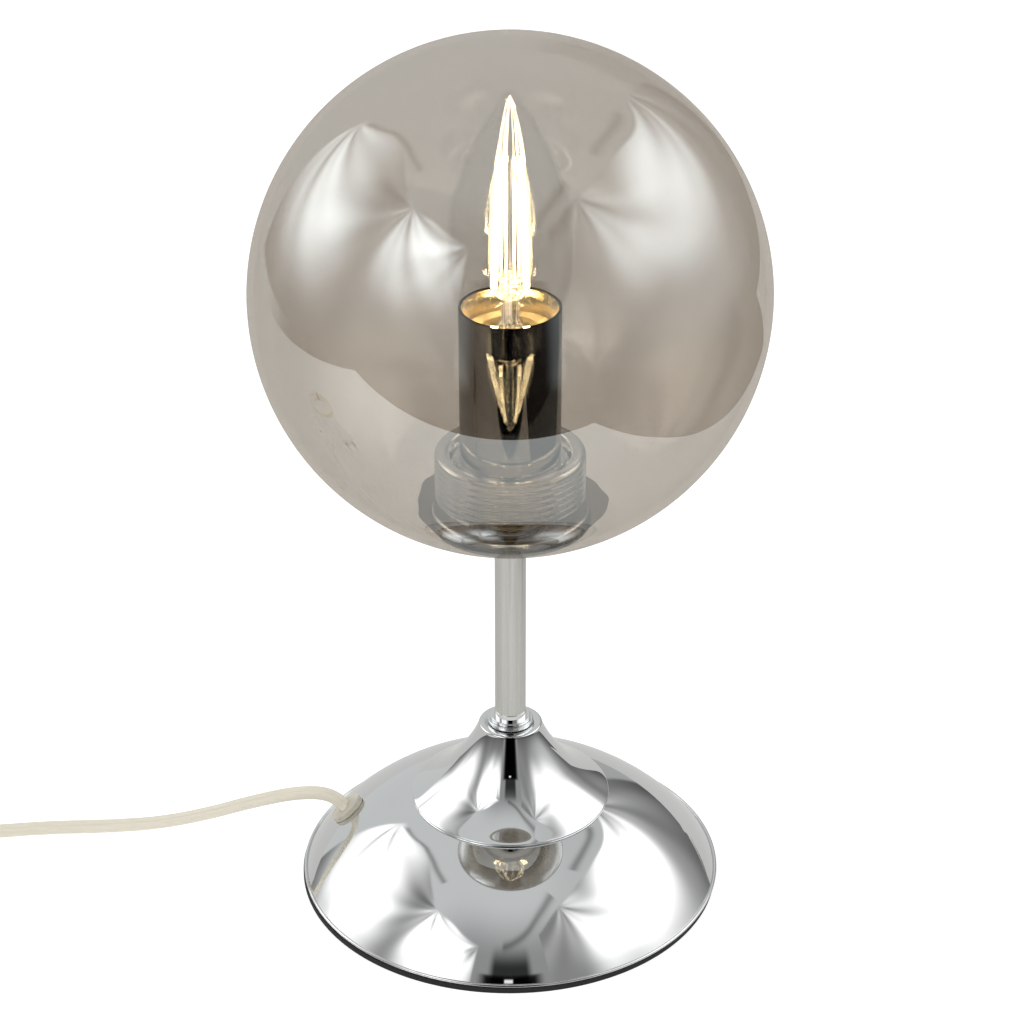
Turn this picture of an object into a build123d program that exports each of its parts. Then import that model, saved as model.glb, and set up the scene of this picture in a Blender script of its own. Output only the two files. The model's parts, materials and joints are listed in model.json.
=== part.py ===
from build123d import *
import math
import os

# A table lamp: a smoked glass globe on a slim stem and a chromed dome foot, with a candle bulb inside.
# Origin at the centre of the foot's underside, +Z up, the viewer's side at -Y. Millimetres.

# ---------------------------------------------------------------- driving sizes
# foot
pad_r = 64.4
pad_t = 2.2
dome_rim_r = 65.0
dome_rise = 32.2
dome_wall = 1.0
plate_t = 1.0
plate_gap = 0.4
weight_t = 12.4
weight_hole_r = 22.0
weight_glue_gap = 0.3
weight_slot_floor = 3.0
plate_screw_ring_r = 40.0
plate_screw_r = 2.0
plate_screw_head_r = 3.8
plate_screw_len = 9.0
plate_screw_count = 3
# flare cone and collar
flare_rim_r = 30.7
flare_wall = 1.0
flare_lip = 0.7
flare_rim_slope = 27.0
flare_waist_slope = 47.0
flare_top_slope = 82.0
flare_rise = 26.1
flare_waist_r = 16.0
flare_waist_rise = 9.6
flare_top_r = 9.6
flare_top_edge = 1.5
collar_r = 7.0
collar_t = 1.2
ferrule_flange_r = 6.2
ferrule_flange_t = 1.2
ferrule_r = 4.95
ferrule_rise = 1.9
# stem and threaded tubes
stem_r = 4.75
stem_len = 63.2
stem_wall = 1.25
thread_wall = 0.75
nipple_wall = 0.9
nipple_engage = 10.0
nut_across_flats = 13.0
nut_t = 4.0
washer_r = 8.0
washer_t = 1.0
tube_stands = 5.0
# glass globe
globe_r = 75.0
globe_wall = 2.0
neck_wall = 4.55
neck_height = 23.0
neck_lip = 2.0
mouth_face_w = 1.0
mouth_edge = 1.2
neck_root_fillet = 1.5
thread_rings = 6
thread_pitch = 2.4
thread_depth = 0.6
thread_round_r = 0.3
thread_start = 4.6
ripple_pitch = 2.1
ripple_depth = 0.35
ripple_round_r = 1.0
ripple_start = 9.6
# seat under the globe
seat_lip = 2.9
seat_wall = 0.85
seat_gap = 0.35
seat_boss_r = 6.5
gasket_t = 0.8
gasket_w = 3.3
carrier_wall = 2.0
carrier_top_t = 2.0
carrier_height = 21.7
carrier_rim_step = 1.0
# socket
socket_r = 14.9
socket_wall = 0.8
socket_height = 48.0
socket_edge = 0.5
socket_play = 0.6
holder_gap = 0.8
holder_wall = 1.2
holder_base_height = 11.0
holder_base_floor = 3.0
holder_hub_wall = 2.4
holder_height = 39.4
holder_floor = 2.2
holder_mouth_drop = 2.2
holder_mouth_r = 8.7
sleeve_wall = 0.5
sleeve_height = 16.0
sleeve_lift = 3.4
tongue_rise = 1.6
tongue_w = 4.0
tongue_t = 0.5
terminal_offset = 7.4
terminal_head_r = 2.4
terminal_head_t = 2.0
terminal_shank_r = 1.4
terminal_shank_len = 1.8
# bulb (candle bulb, 35 mm wide, with the small screw cap)
bulb_r = 17.5
bulb_length = 96.7
bulb_wall = 0.8
bulb_neck_r = 6.2
cap_r = 6.95
cap_wall = 0.4
cap_height = 22.5
cap_rings = 5
cap_pitch = 2.82
cap_ring_depth = 0.45
cap_ring_round_r = 0.8
cap_ring_start = 1.6
insulator_t = 2.6
insulator_plug_t = 1.0
insulator_top_r = 6.3
insulator_low_r = 3.6
button_r = 2.4
button_t = 0.8
mount_r = 2.6
mount_top = 76.5
mount_flare_r = 5.0
filament_count = 4
filament_r = 0.85
filament_length = 36.0
filament_low = 39.5
filament_low_ring_r = 6.6
filament_high_ring_r = 4.4
wire_r = 0.3
wire_rise = 1.2
board_size = 8.0
board_t = 1.0
# cord, flat and twin: its whole length from the foot to the plug, its width and its thickness
cord_length = 1800.0
cord_w = 5.4
cord_t = 2.7
core_d = 2.0
grommet_r = 5.65
grommet_flange_t = 1.8
grommet_neck_r = 3.9
grommet_lip_r = 4.7
grommet_lip_t = 1.2
grommet_edge = 0.6
grommet_x = -51.5
grommet_y = 8.8
inner_far = 24.0
inner_near = 13.0
inner_lift = 0.4
inner_rise = 9.5
clamp_along = 9.0
clamp_across = 8.0
clamp_t = 1.2
clamp_leg = 1.2
clamp_x = 36.0
coil_x = -325.0
coil_y = -25.0
coil_mid_r = 31.5
coil_turn_gap = 0.1
coil_layers = 4
coil_columns = 3
coil_meet = 12.0
tie_w = 6.0
tie_t = 0.3
# cord switch
switch_len = 62.0
switch_w = 26.0
switch_h = 14.5
switch_wall = 1.6
switch_split_h = 7.6
switch_edge = 1.5
switch_corner_r = 11.0
switch_screw_r = 1.3
switch_screw_head_r = 2.2
switch_boss_r = 2.8
switch_screw_dx = 21.0
switch_screw_dy = 7.0
switch_screw_sink = 2.0
switch_screw_head_t = 1.4
switch_screw_reach = 3.5
contact_dx = 11.0
contact_foot = (5.0, 8.0, 1.0)
contact_blade = (1.0, 6.0, 4.4)
ear_len = 5.0
ear_w = 2.0
ear_drop = 2.2
switch_x = -236.0
switch_y = 9.0
switch_cord_h = 5.6
cord_hold = 4.0
rocker_len = 16.0
rocker_w = 8.0
rocker_depth = 3.4
rocker_tilt = 7.0
rocker_pivot_r = 1.0
rocker_rise = 2.6
rocker_waist = 0.6
rocker_foot_w = 4.0
# plug: flat, two round pins
plug_w = 35.3
plug_t = 13.7
plug_body_len = 34.0
plug_shoulder_len = 14.0
plug_neck_w = 14.0
plug_corner_r = 2.4
plug_edge = 1.2
pin_root = 6.5
pin_tip_round = 0.9
plug_relief_len = 26.0
relief_root = (10.0, 8.0, 3.0)
relief_tip = (7.0, 4.4, 2.0)
plug_x = -216.0
plug_y = -56.0
pin_r = 2.0
pin_len = 19.0
pin_space = 18.6
pin_space_tip = 17.5
pin_sleeve_len = 9.5
pin_sleeve_wall = 0.35

# ---------------------------------------------------------------- named clearances
fit = 0.05            # pieces fixed to each other, on the radius
seat_play = 0.05      # curved seats, so that no two pieces share a curved face
thread_gap = 0.4      # between the carrier's thread and the glass, so that the globe can slide off
pass_gap = 0.3        # round the widest thing that the glass neck passes over
contact_gap = 0.1     # under the bulb's button and round its thread
run_gap = 0.05        # round the rocker's pivot
rocker_gap = 0.35     # round the rocker in its window
cord_gap = 0.15       # round the cord in a hole
tie_play = 0.35       # beside the coil in its straight-sided tie

os.makedirs("parts", exist_ok=True)


def save(piece, name):
    """Label a finished piece and write it to its own file."""
    piece.part.label = name
    export_step(piece.part, f"parts/{name}.step")


def cap_radius(rim_r, rise):
    """Radius of the sphere whose cap has this rim radius and this rise."""
    return (rim_r**2 + rise**2) / (2 * rise)


def on_sphere(sphere_r, centre_z, r, side=1):
    """Point (r, z) of a sphere's outline at a distance r from the axis, on its upper or lower side."""
    return (r, centre_z + side * math.sqrt(sphere_r**2 - r**2))


# ---------------------------------------------------------------- levels worked out from the sizes
# foot
dome_r = cap_radius(dome_rim_r, dome_rise)
dome_centre_z = pad_t + dome_rise - dome_r
dome_in_r = dome_r - dome_wall
nipple_r = stem_r - thread_wall
nipple_bore_r = nipple_r - nipple_wall
hole_r = nipple_r + fit
plate_top = pad_t + plate_t
plate_r = math.sqrt(dome_in_r**2 - (plate_top - dome_centre_z) ** 2) - plate_gap
weight_top = plate_top + weight_t
weight_sphere_r = dome_in_r - weight_glue_gap
# flare cone, collar, stem
flare_base = on_sphere(dome_r, dome_centre_z, flare_rim_r - flare_wall)[1] + seat_play
flare_top = flare_base + flare_rise
collar_top = flare_top + collar_t
ferrule_top = collar_top + ferrule_flange_t + ferrule_rise
stem_top = ferrule_top + stem_len
# globe and its seat
seat_under_r = globe_r + seat_gap + seat_wall
globe_z = stem_top + seat_under_r
neck_bore_r = max(bulb_r, socket_r) + pass_gap
mouth_r = neck_bore_r + mouth_edge + mouth_face_w
mouth_z = on_sphere(globe_r, globe_z, mouth_r, -1)[1]
neck_out_r = neck_bore_r + neck_wall
neck_top = mouth_z + neck_height
carrier_r = neck_bore_r - thread_gap
seat_top = mouth_z - gasket_t
gasket_in_r = neck_bore_r
seat_step_r = gasket_in_r + gasket_w
seat_rim_r = seat_step_r + seat_lip
carrier_top = seat_top + carrier_height
# socket and bulb
socket_floor_top = carrier_top + socket_wall
socket_top = carrier_top + socket_height
holder_seat = socket_floor_top + washer_t
holder_r = socket_r - socket_wall - holder_gap
holder_bottom = holder_seat + holder_base_height
holder_top = holder_seat + holder_height
tube_end = holder_seat + tube_stands
tongue_top = holder_bottom + holder_floor + tongue_rise
bulb_bottom = tongue_top + contact_gap
cap_bottom = bulb_bottom + button_t + insulator_t
cap_top = bulb_bottom + button_t + cap_height
sleeve_r = cap_r + contact_gap
bulb_tip = bulb_bottom + bulb_length


# ================================================================ foot
with BuildPart() as base_pad:
    with BuildSketch(Plane.XY):
        Circle(pad_r)
    extrude(amount=pad_t)
save(base_pad, "base_pad")

with BuildPart() as bottom_plate:
    with BuildSketch(Plane.XY.offset(pad_t)):
        Circle(plate_r)
    extrude(amount=plate_t)
    with PolarLocations(plate_screw_ring_r, plate_screw_count):
        Hole(plate_screw_head_r + fit)
save(bottom_plate, "bottom_plate")

with BuildPart() as dome_blank:
    with BuildSketch(Plane.XZ):
        with BuildLine():
            outer = [on_sphere(dome_r, dome_centre_z, r) for r in (0, dome_rim_r / 2, dome_rim_r)]
            ThreePointArc(*outer)
            rim_in_r = math.sqrt(dome_in_r**2 - (pad_t - dome_centre_z) ** 2)
            inner = [on_sphere(dome_in_r, dome_centre_z, r) for r in (rim_in_r, rim_in_r / 2, 0)]
            Line(outer[-1], inner[0])
            ThreePointArc(*inner)
            Line(inner[-1], outer[0])
        make_face()
    revolve(axis=Axis.Z)

# the grommet's place on the dome, with its plane square to the surface
grommet_dir = Vector(grommet_x, grommet_y, on_sphere(
    dome_r, dome_centre_z, math.hypot(grommet_x, grommet_y))[1] - dome_centre_z).normalized()
grommet_point = Vector(0, 0, dome_centre_z) + grommet_dir * dome_r
grommet_across = Vector(-grommet_y, grommet_x, 0).normalized()
grommet_plane = Plane(origin=grommet_point, x_dir=grommet_across, z_dir=grommet_dir)

with BuildPart() as dome_shell:
    add(dome_blank.part)
    with BuildSketch(Plane.XY.offset(dome_centre_z)):
        Circle(hole_r)
    extrude(amount=2 * dome_r, mode=Mode.SUBTRACT)
    with BuildSketch(grommet_plane.offset(-3 * dome_wall)):
        Circle(grommet_neck_r + fit)
    extrude(amount=6 * dome_wall, mode=Mode.SUBTRACT)
save(dome_shell, "dome_shell")

with BuildPart() as cord_grommet:
    with BuildSketch(grommet_plane.offset(seat_play)):
        Circle(grommet_r)
    extrude(amount=grommet_flange_t)
    fillet(cord_grommet.edges().sort_by(SortBy.DISTANCE)[-1:], grommet_edge)
    with BuildSketch(grommet_plane.offset(seat_play)):
        Circle(grommet_neck_r)
    extrude(amount=-(dome_wall + 0.3 + grommet_lip_t))
    with BuildSketch(grommet_plane.offset(-(dome_wall + 0.3))):
        Circle(grommet_lip_r)
    extrude(amount=-grommet_lip_t)
    with BuildSketch(grommet_plane.offset(2 * grommet_flange_t)):
        SlotOverall(cord_w + 2 * cord_gap, cord_t + 2 * cord_gap)
    extrude(amount=-(3 * grommet_flange_t + dome_wall + 2 * grommet_lip_t), mode=Mode.SUBTRACT)
save(cord_grommet, "cord_grommet")

# the ballast follows the dome's inside and has a slot where the cord runs in
weight_slot_w = 2 * (grommet_lip_r + cord_gap) + 1.0
slot_angle = math.degrees(math.atan2(grommet_y, grommet_x))
with BuildPart() as base_weight:
    with BuildSketch(Plane.XZ):
        with BuildLine():
            low_r = math.sqrt(weight_sphere_r**2 - (plate_top - dome_centre_z) ** 2)
            high_r = math.sqrt(weight_sphere_r**2 - (weight_top - dome_centre_z) ** 2)
            mid_r = (low_r + high_r) / 2
            Polyline((high_r, weight_top), (weight_hole_r, weight_top),
                     (weight_hole_r, plate_top), (low_r, plate_top))
            ThreePointArc((low_r, plate_top), on_sphere(weight_sphere_r, dome_centre_z, mid_r),
                          (high_r, weight_top))
        make_face()
    revolve(axis=Axis.Z)
    slot_plane = Plane.XY.offset(plate_top + weight_slot_floor).rotated((0, 0, slot_angle))
    with BuildSketch(slot_plane):
        with Locations((dome_rim_r / 2, 0)):
            Rectangle(dome_rim_r, weight_slot_w)
    extrude(amount=weight_t, mode=Mode.SUBTRACT)
    with BuildSketch(Plane.XY.offset(plate_top)):
        with PolarLocations(plate_screw_ring_r, plate_screw_count):
            Circle(plate_screw_r + fit)
    extrude(amount=plate_screw_len, mode=Mode.SUBTRACT)
save(base_weight, "base_weight")

with BuildPart() as plate_screws:
    with BuildSketch(Plane.XY.offset(pad_t)):
        with PolarLocations(plate_screw_ring_r, plate_screw_count):
            Circle(plate_screw_head_r)
    extrude(amount=plate_t)
    with BuildSketch(Plane.XY.offset(plate_top)):
        with PolarLocations(plate_screw_ring_r, plate_screw_count):
            Circle(plate_screw_r)
    extrude(amount=plate_screw_len - 1)
save(plate_screws, "plate_screws")

# ================================================================ flare cone, collar and stem
# the cone's outline as points with the slope of its surface at each, from the rim up
flare_outline = [
    (flare_rim_r, flare_base + flare_lip, flare_rim_slope),
    (flare_waist_r, flare_base + flare_waist_rise, flare_waist_slope),
    (flare_top_r, flare_top - flare_top_edge, flare_top_slope),
]


def flare_curve(depth):
    """Points and directions of the cone's surface, moved inwards by depth."""
    points = []
    directions = []
    for r, z, slope in flare_outline:
        lean = math.radians(slope)
        points.append((r - depth * math.sin(lean), z - depth * math.cos(lean)))
        directions.append((-math.cos(lean), math.sin(lean)))
    return points, directions


with BuildPart() as flare_cone:
    with BuildSketch(Plane.XZ):
        with BuildLine():
            skin, skin_ways = flare_curve(0)
            inside, inside_ways = flare_curve(flare_wall)
            drop = (flare_base - inside[0][1]) / math.tan(math.radians(flare_rim_slope))
            inside[0] = (inside[0][0] - drop, flare_base)
            inner_top = flare_top - flare_wall
            Spline(*skin, tangents=skin_ways)
            Polyline(skin[-1], (flare_top_r, flare_top), (hole_r, flare_top), (hole_r, inner_top),
                     (inside[-1][0], inner_top), inside[-1])
            Spline(*inside, tangents=inside_ways)
            Polyline(inside[0], (flare_rim_r, flare_base), skin[0])
        make_face()
    revolve(axis=Axis.Z)
    fillet(flare_cone.edges().filter_by(GeomType.CIRCLE).group_by(Axis.Z)[-1].sort_by(
        SortBy.RADIUS)[-1:], 0.8 * flare_top_edge)
save(flare_cone, "flare_cone")

with BuildPart() as collar_washer:
    with BuildSketch(Plane.XY.offset(flare_top)):
        Circle(collar_r)
        Circle(hole_r, mode=Mode.SUBTRACT)
    extrude(amount=collar_t)
    fillet(collar_washer.edges().filter_by(GeomType.CIRCLE).sort_by(SortBy.RADIUS)[-2:], 0.3)
save(collar_washer, "collar_washer")

with BuildPart() as stem_ferrule:
    with BuildSketch(Plane.XY.offset(collar_top)):
        Circle(ferrule_flange_r)
    extrude(amount=ferrule_flange_t)
    fillet(stem_ferrule.edges().filter_by(GeomType.CIRCLE), 0.3)
    with BuildSketch(Plane.XY.offset(collar_top)):
        Circle(ferrule_r)
    extrude(amount=ferrule_flange_t + ferrule_rise)
    with Locations((0, 0, ferrule_top)):
        Hole(hole_r)
save(stem_ferrule, "stem_ferrule")

with BuildPart() as stem_tube:
    with BuildSketch(Plane.XY.offset(ferrule_top)):
        Circle(stem_r)
        Circle(stem_r - stem_wall, mode=Mode.SUBTRACT)
    extrude(amount=stem_len)
    with BuildSketch(Plane.XY.offset(ferrule_top), Plane.XY.offset(stem_top - nipple_engage - 1)):
        Circle(hole_r)
    extrude(amount=nipple_engage + 1, mode=Mode.SUBTRACT)
save(stem_tube, "stem_tube")


def washer_piece(bottom, outer_r, teeth=0):
    """A flat or toothed washer round the threaded tube."""
    with BuildPart() as washer:
        with BuildSketch(Plane.XY.offset(bottom)):
            Circle(outer_r)
            Circle(hole_r, mode=Mode.SUBTRACT)
            if teeth:
                with PolarLocations(outer_r, teeth):
                    Rectangle(outer_r / 3, outer_r / teeth, mode=Mode.SUBTRACT)
        extrude(amount=washer_t)
    return washer


def tube_piece(bottom, top):
    """A length of threaded tube."""
    with BuildPart() as tube:
        with BuildSketch(Plane.XY.offset(bottom)):
            Circle(nipple_r)
            Circle(nipple_bore_r, mode=Mode.SUBTRACT)
        extrude(amount=top - bottom)
        chamfer(tube.edges().filter_by(GeomType.CIRCLE).sort_by(SortBy.RADIUS)[-2:], 0.3)
    return tube


base_washer_top = on_sphere(dome_in_r, dome_centre_z, washer_r)[1] - seat_play
base_washer = washer_piece(base_washer_top - washer_t, washer_r)
save(base_washer, "base_washer")

nut_top = base_washer_top - washer_t
with BuildPart() as base_nut:
    with BuildSketch(Plane.XY.offset(nut_top - nut_t)):
        RegularPolygon(nut_across_flats / 2, 6, major_radius=False)
        Circle(hole_r, mode=Mode.SUBTRACT)
    extrude(amount=nut_t)
save(base_nut, "base_nut")

base_tube_bottom = nut_top - nut_t - 1.5
base_tube = tube_piece(base_tube_bottom, ferrule_top + nipple_engage)
save(base_tube, "base_threaded_tube")

# ================================================================ seat, gasket and carrier
with BuildPart() as seat_dish:
    with BuildSketch(Plane.XZ):
        with BuildLine():
            rim_low = on_sphere(seat_under_r, globe_z, seat_rim_r, -1)
            boss = on_sphere(seat_under_r, globe_z, seat_boss_r, -1)
            rim_high = on_sphere(globe_r + seat_gap, globe_z, seat_rim_r, -1)
            step = on_sphere(globe_r + seat_gap, globe_z, seat_step_r, -1)
            Polyline(rim_high, rim_low)
            ThreePointArc(rim_low, on_sphere(seat_under_r, globe_z, seat_rim_r / 2, -1), boss)
            Polyline(boss, (seat_boss_r, stem_top), (hole_r, stem_top), (hole_r, seat_top),
                     (seat_step_r, seat_top), step)
            ThreePointArc(step, on_sphere(
                globe_r + seat_gap, globe_z, (seat_step_r + seat_rim_r) / 2, -1), rim_high)
        make_face()
    revolve(axis=Axis.Z)
save(seat_dish, "seat_dish")

with BuildPart() as globe_gasket:
    with BuildSketch(Plane.XY.offset(seat_top)):
        Circle(seat_step_r - seat_play)
        Circle(gasket_in_r, mode=Mode.SUBTRACT)
    extrude(amount=gasket_t - seat_play)
save(globe_gasket, "globe_gasket")

# the carrier is a cup turned over, with thread rings on its wall
with BuildPart() as globe_carrier:
    with BuildSketch(Plane.XY.offset(seat_top)):
        Circle(carrier_r)
    extrude(amount=carrier_height - carrier_top_t)
    with BuildSketch(Plane.XY.offset(seat_top)):
        Circle(carrier_r - carrier_rim_step)
    extrude(amount=carrier_height)
    with BuildSketch(Plane.XY.offset(seat_top)):
        Circle(carrier_r - carrier_wall)
    extrude(amount=carrier_height - carrier_top_t, mode=Mode.SUBTRACT)
    with BuildSketch(Plane.XZ):
        with Locations(*[(carrier_r + thread_round_r, mouth_z + thread_start + (ring + 0.5) * thread_pitch)
                         for ring in range(thread_rings)]):
            Circle(thread_round_r + thread_depth)
    revolve(axis=Axis.Z, mode=Mode.SUBTRACT)
    with Locations((0, 0, carrier_top)):
        Hole(hole_r)
save(globe_carrier, "globe_carrier")

upper_tube = tube_piece(stem_top - nipple_engage, tube_end)
save(upper_tube, "upper_threaded_tube")

# ================================================================ glass globe
with BuildPart() as globe:
    with BuildSketch(Plane.XZ):
        with BuildLine():
            wall_r = globe_r - globe_wall
            foot_out = on_sphere(globe_r, globe_z, mouth_r, -1)
            foot_in = on_sphere(wall_r, globe_z, neck_out_r, -1)
            ThreePointArc((0, globe_z + globe_r), (globe_r, globe_z), foot_out)
            Line(foot_out, (mouth_r - mouth_face_w, mouth_z))
            ThreePointArc((mouth_r - mouth_face_w, mouth_z),
                          (neck_bore_r + mouth_edge * (1 - math.sqrt(0.5)),
                           mouth_z + mouth_edge * (1 - math.sqrt(0.5))),
                          (neck_bore_r, mouth_z + mouth_edge))
            Polyline((neck_bore_r, mouth_z + mouth_edge), (neck_bore_r, neck_top),
                     (neck_out_r, neck_top), foot_in)
            ThreePointArc(foot_in, (wall_r, globe_z), (0, globe_z + wall_r))
            Line((0, globe_z + wall_r), (0, globe_z + globe_r))
        make_face()
    revolve(axis=Axis.Z)
    lip_edges = globe.edges().filter_by(GeomType.CIRCLE).filter_by_position(
        Axis.Z, neck_top - seat_play, neck_top + seat_play)
    fillet(lip_edges, neck_lip)
    root_edges = [edge for edge in globe.edges().filter_by(GeomType.CIRCLE)
                  if abs(edge.radius - neck_out_r) < seat_play and edge.center().Z < foot_in[1] + 1]
    fillet(root_edges, neck_root_fillet)
    with BuildSketch(Plane.XZ):
        with Locations(*[(neck_bore_r - thread_round_r, mouth_z + thread_start + ring * thread_pitch)
                         for ring in range(thread_rings)]):
            Circle(thread_round_r + thread_depth)
        with Locations(*[(neck_out_r + ripple_round_r, mouth_z + ripple_start + ring * ripple_pitch)
                         for ring in range(thread_rings)]):
            Circle(ripple_round_r + ripple_depth)
    revolve(axis=Axis.Z, mode=Mode.SUBTRACT)
save(globe, "globe")

# ================================================================ socket
with BuildPart() as socket_shell:
    with BuildSketch(Plane.XY.offset(carrier_top)):
        Circle(socket_r)
    extrude(amount=socket_height)
    fillet(socket_shell.edges().filter_by(GeomType.CIRCLE).sort_by(Axis.Z)[:1], socket_edge)
    with BuildSketch(Plane.XY.offset(socket_floor_top)):
        Circle(socket_r - socket_wall)
    extrude(amount=socket_height, mode=Mode.SUBTRACT)
    with Locations((0, 0, socket_floor_top)):
        Hole(hole_r)
save(socket_shell, "socket_shell")

toothed_washer = washer_piece(socket_floor_top, washer_r, teeth=12)
save(toothed_washer, "toothed_washer")

with BuildPart() as lampholder_base:
    with BuildSketch(Plane.XY.offset(holder_seat)):
        Circle(holder_r)
    extrude(amount=holder_base_height)
    with BuildSketch(Plane.XY.offset(holder_seat + holder_base_floor)):
        Circle(holder_r - holder_wall)
        Circle(hole_r + holder_hub_wall, mode=Mode.SUBTRACT)
    extrude(amount=holder_base_height, mode=Mode.SUBTRACT)
    with BuildSketch(Plane.XY.offset(holder_seat + holder_base_floor + 2.0)):
        Circle(hole_r + holder_hub_wall)
    extrude(amount=holder_base_height, mode=Mode.SUBTRACT)
    with Locations((0, 0, holder_seat)):
        Hole(hole_r)
save(lampholder_base, "lampholder_base")

sleeve_bottom = holder_bottom + holder_floor + sleeve_lift
with BuildPart() as lampholder_body:
    with BuildSketch(Plane.XY.offset(holder_bottom)):
        Circle(holder_r)
    extrude(amount=holder_top - holder_bottom)
    fillet(lampholder_body.edges().filter_by(GeomType.CIRCLE).sort_by(Axis.Z)[-1:], 1.2)
    with BuildSketch(Plane.XY.offset(holder_bottom + holder_floor)):
        Circle(sleeve_r - sleeve_wall)
    extrude(amount=holder_height, mode=Mode.SUBTRACT)
    with BuildSketch(Plane.XY.offset(sleeve_bottom)):
        Circle(sleeve_r + sleeve_wall + fit)
    extrude(amount=holder_height, mode=Mode.SUBTRACT)
    with BuildSketch(Plane.XY.offset(holder_top - holder_mouth_drop)):
        Circle(holder_mouth_r)
    extrude(amount=holder_height, mode=Mode.SUBTRACT)
    with BuildSketch(Plane.XY.offset(holder_bottom)):
        with Locations((0, terminal_offset), (0, -terminal_offset)):
            Circle(terminal_shank_r + fit)
    extrude(amount=terminal_shank_len + contact_gap, mode=Mode.SUBTRACT)
save(lampholder_body, "lampholder_body")

with BuildPart() as thread_contact:
    with BuildSketch(Plane.XY.offset(sleeve_bottom)):
        Circle(sleeve_r + sleeve_wall)
        Circle(sleeve_r, mode=Mode.SUBTRACT)
    extrude(amount=sleeve_height)
save(thread_contact, "thread_contact")

# a bent spring tongue: flat on the floor of the holder, then up to the bulb's button
with BuildPart() as centre_contact:
    with BuildSketch(Plane.XZ):
        tongue_low = holder_bottom + holder_floor
        with BuildLine():
            Polyline((-4.6, tongue_low), (-3.0, tongue_low), (-1.6, tongue_top - tongue_t),
                     (2.2, tongue_top - tongue_t), (2.2, tongue_top), (-1.9, tongue_top),
                     (-3.3, tongue_low + tongue_t), (-4.6, tongue_low + tongue_t), (-4.6, tongue_low))
        make_face()
    extrude(amount=tongue_w / 2, both=True)
save(centre_contact, "centre_contact")

with BuildPart() as terminal_screws:
    with BuildSketch(Plane.XY.offset(holder_bottom - terminal_head_t)):
        with Locations((0, terminal_offset), (0, -terminal_offset)):
            Circle(terminal_head_r)
    extrude(amount=terminal_head_t)
    with BuildSketch(Plane.XY.offset(holder_bottom)):
        with Locations((0, terminal_offset), (0, -terminal_offset)):
            Circle(terminal_shank_r)
    extrude(amount=terminal_shank_len)
save(terminal_screws, "terminal_screws")

# ================================================================ bulb
def bulb_blank(inset):
    """The bulb's glass as a solid body, moved inwards by inset."""
    neck = bulb_neck_r - inset
    low = (neck, cap_top - 3.0)
    shoulder = (neck, cap_top)
    widest = (bulb_r - inset, bulb_bottom + 0.56 * bulb_length)
    tip = (0, bulb_tip - inset)
    flank_r = min(0.77 * bulb_r, socket_r - socket_wall - socket_play)
    flank = (flank_r - inset, cap_top + 8.5)
    taper = [(0.81 * bulb_r - inset, bulb_bottom + 0.74 * bulb_length),
             (0.44 * bulb_r - inset, bulb_bottom + 0.89 * bulb_length),
             (0.17 * bulb_r - inset, bulb_bottom + 0.975 * bulb_length)]
    with BuildPart() as blank:
        with BuildSketch(Plane.XZ):
            with BuildLine():
                Line(low, shoulder)
                Spline(shoulder, flank, widest, tangents=[(0, 1), (0, 1)])
                Spline(widest, *taper, tip, tangents=[(0, 1), (-1, 0.15)])
                Polyline(tip, (0, low[1]), low)
            make_face()
        revolve(axis=Axis.Z)
    return blank.part


outer_bulb = bulb_blank(0)
inner_bulb = bulb_blank(bulb_wall)
with BuildPart() as bulb_glass:
    add(outer_bulb)
    add(inner_bulb, mode=Mode.SUBTRACT)
save(bulb_glass, "bulb_glass")

with BuildPart() as bulb_cap:
    with BuildSketch(Plane.XY.offset(cap_bottom)):
        Circle(cap_r)
    extrude(amount=cap_top - cap_bottom - 0.5)
    with BuildSketch(Plane.XY.offset(cap_bottom)):
        Circle(bulb_neck_r + fit)
    extrude(amount=cap_height, mode=Mode.SUBTRACT)
    with BuildSketch(Plane.XZ):
        with Locations(*[(cap_r + cap_ring_round_r, cap_bottom + cap_ring_start + ring * cap_pitch)
                         for ring in range(cap_rings)]):
            Circle(cap_ring_round_r + cap_ring_depth)
    revolve(axis=Axis.Z, mode=Mode.SUBTRACT)
save(bulb_cap, "bulb_cap")

with BuildPart() as bulb_insulator:
    with BuildSketch(Plane.XY.offset(bulb_bottom + button_t)):
        Circle(insulator_low_r)
    with BuildSketch(Plane.XY.offset(cap_bottom)):
        Circle(insulator_top_r)
    loft()
    with BuildSketch(Plane.XY.offset(cap_bottom)):
        Circle(bulb_neck_r - cap_wall)
    extrude(amount=insulator_plug_t)
save(bulb_insulator, "bulb_insulator")

with BuildPart() as bulb_button:
    with BuildSketch(Plane.XY.offset(bulb_bottom)):
        Circle(button_r)
    extrude(amount=button_t)
    fillet(bulb_button.edges().sort_by(Axis.Z)[:1], 0.4)
save(bulb_button, "bulb_button")

mount_foot = cap_top - 2.6
with BuildPart() as bulb_mount:
    with BuildSketch(Plane.XZ):
        with BuildLine():
            Polyline((0, mount_foot), (mount_flare_r, mount_foot), (mount_flare_r, mount_foot + 1.2),
                     (mount_r, mount_foot + 7.0), (mount_r, bulb_bottom + mount_top),
                     (0, bulb_bottom + mount_top), (0, mount_foot))
        make_face()
    revolve(axis=Axis.Z)
save(bulb_mount, "bulb_mount")

filament_foot = bulb_bottom + filament_low
filament_head = filament_foot + filament_length


def ring_points(ring_r, z):
    """The filaments' ends on a ring of this radius, one at each quarter, turned by an eighth."""
    angles = [math.radians(360 / filament_count * (step + 0.5)) for step in range(filament_count)]
    return [Vector(ring_r * math.cos(a), ring_r * math.sin(a), z) for a in angles]


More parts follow.
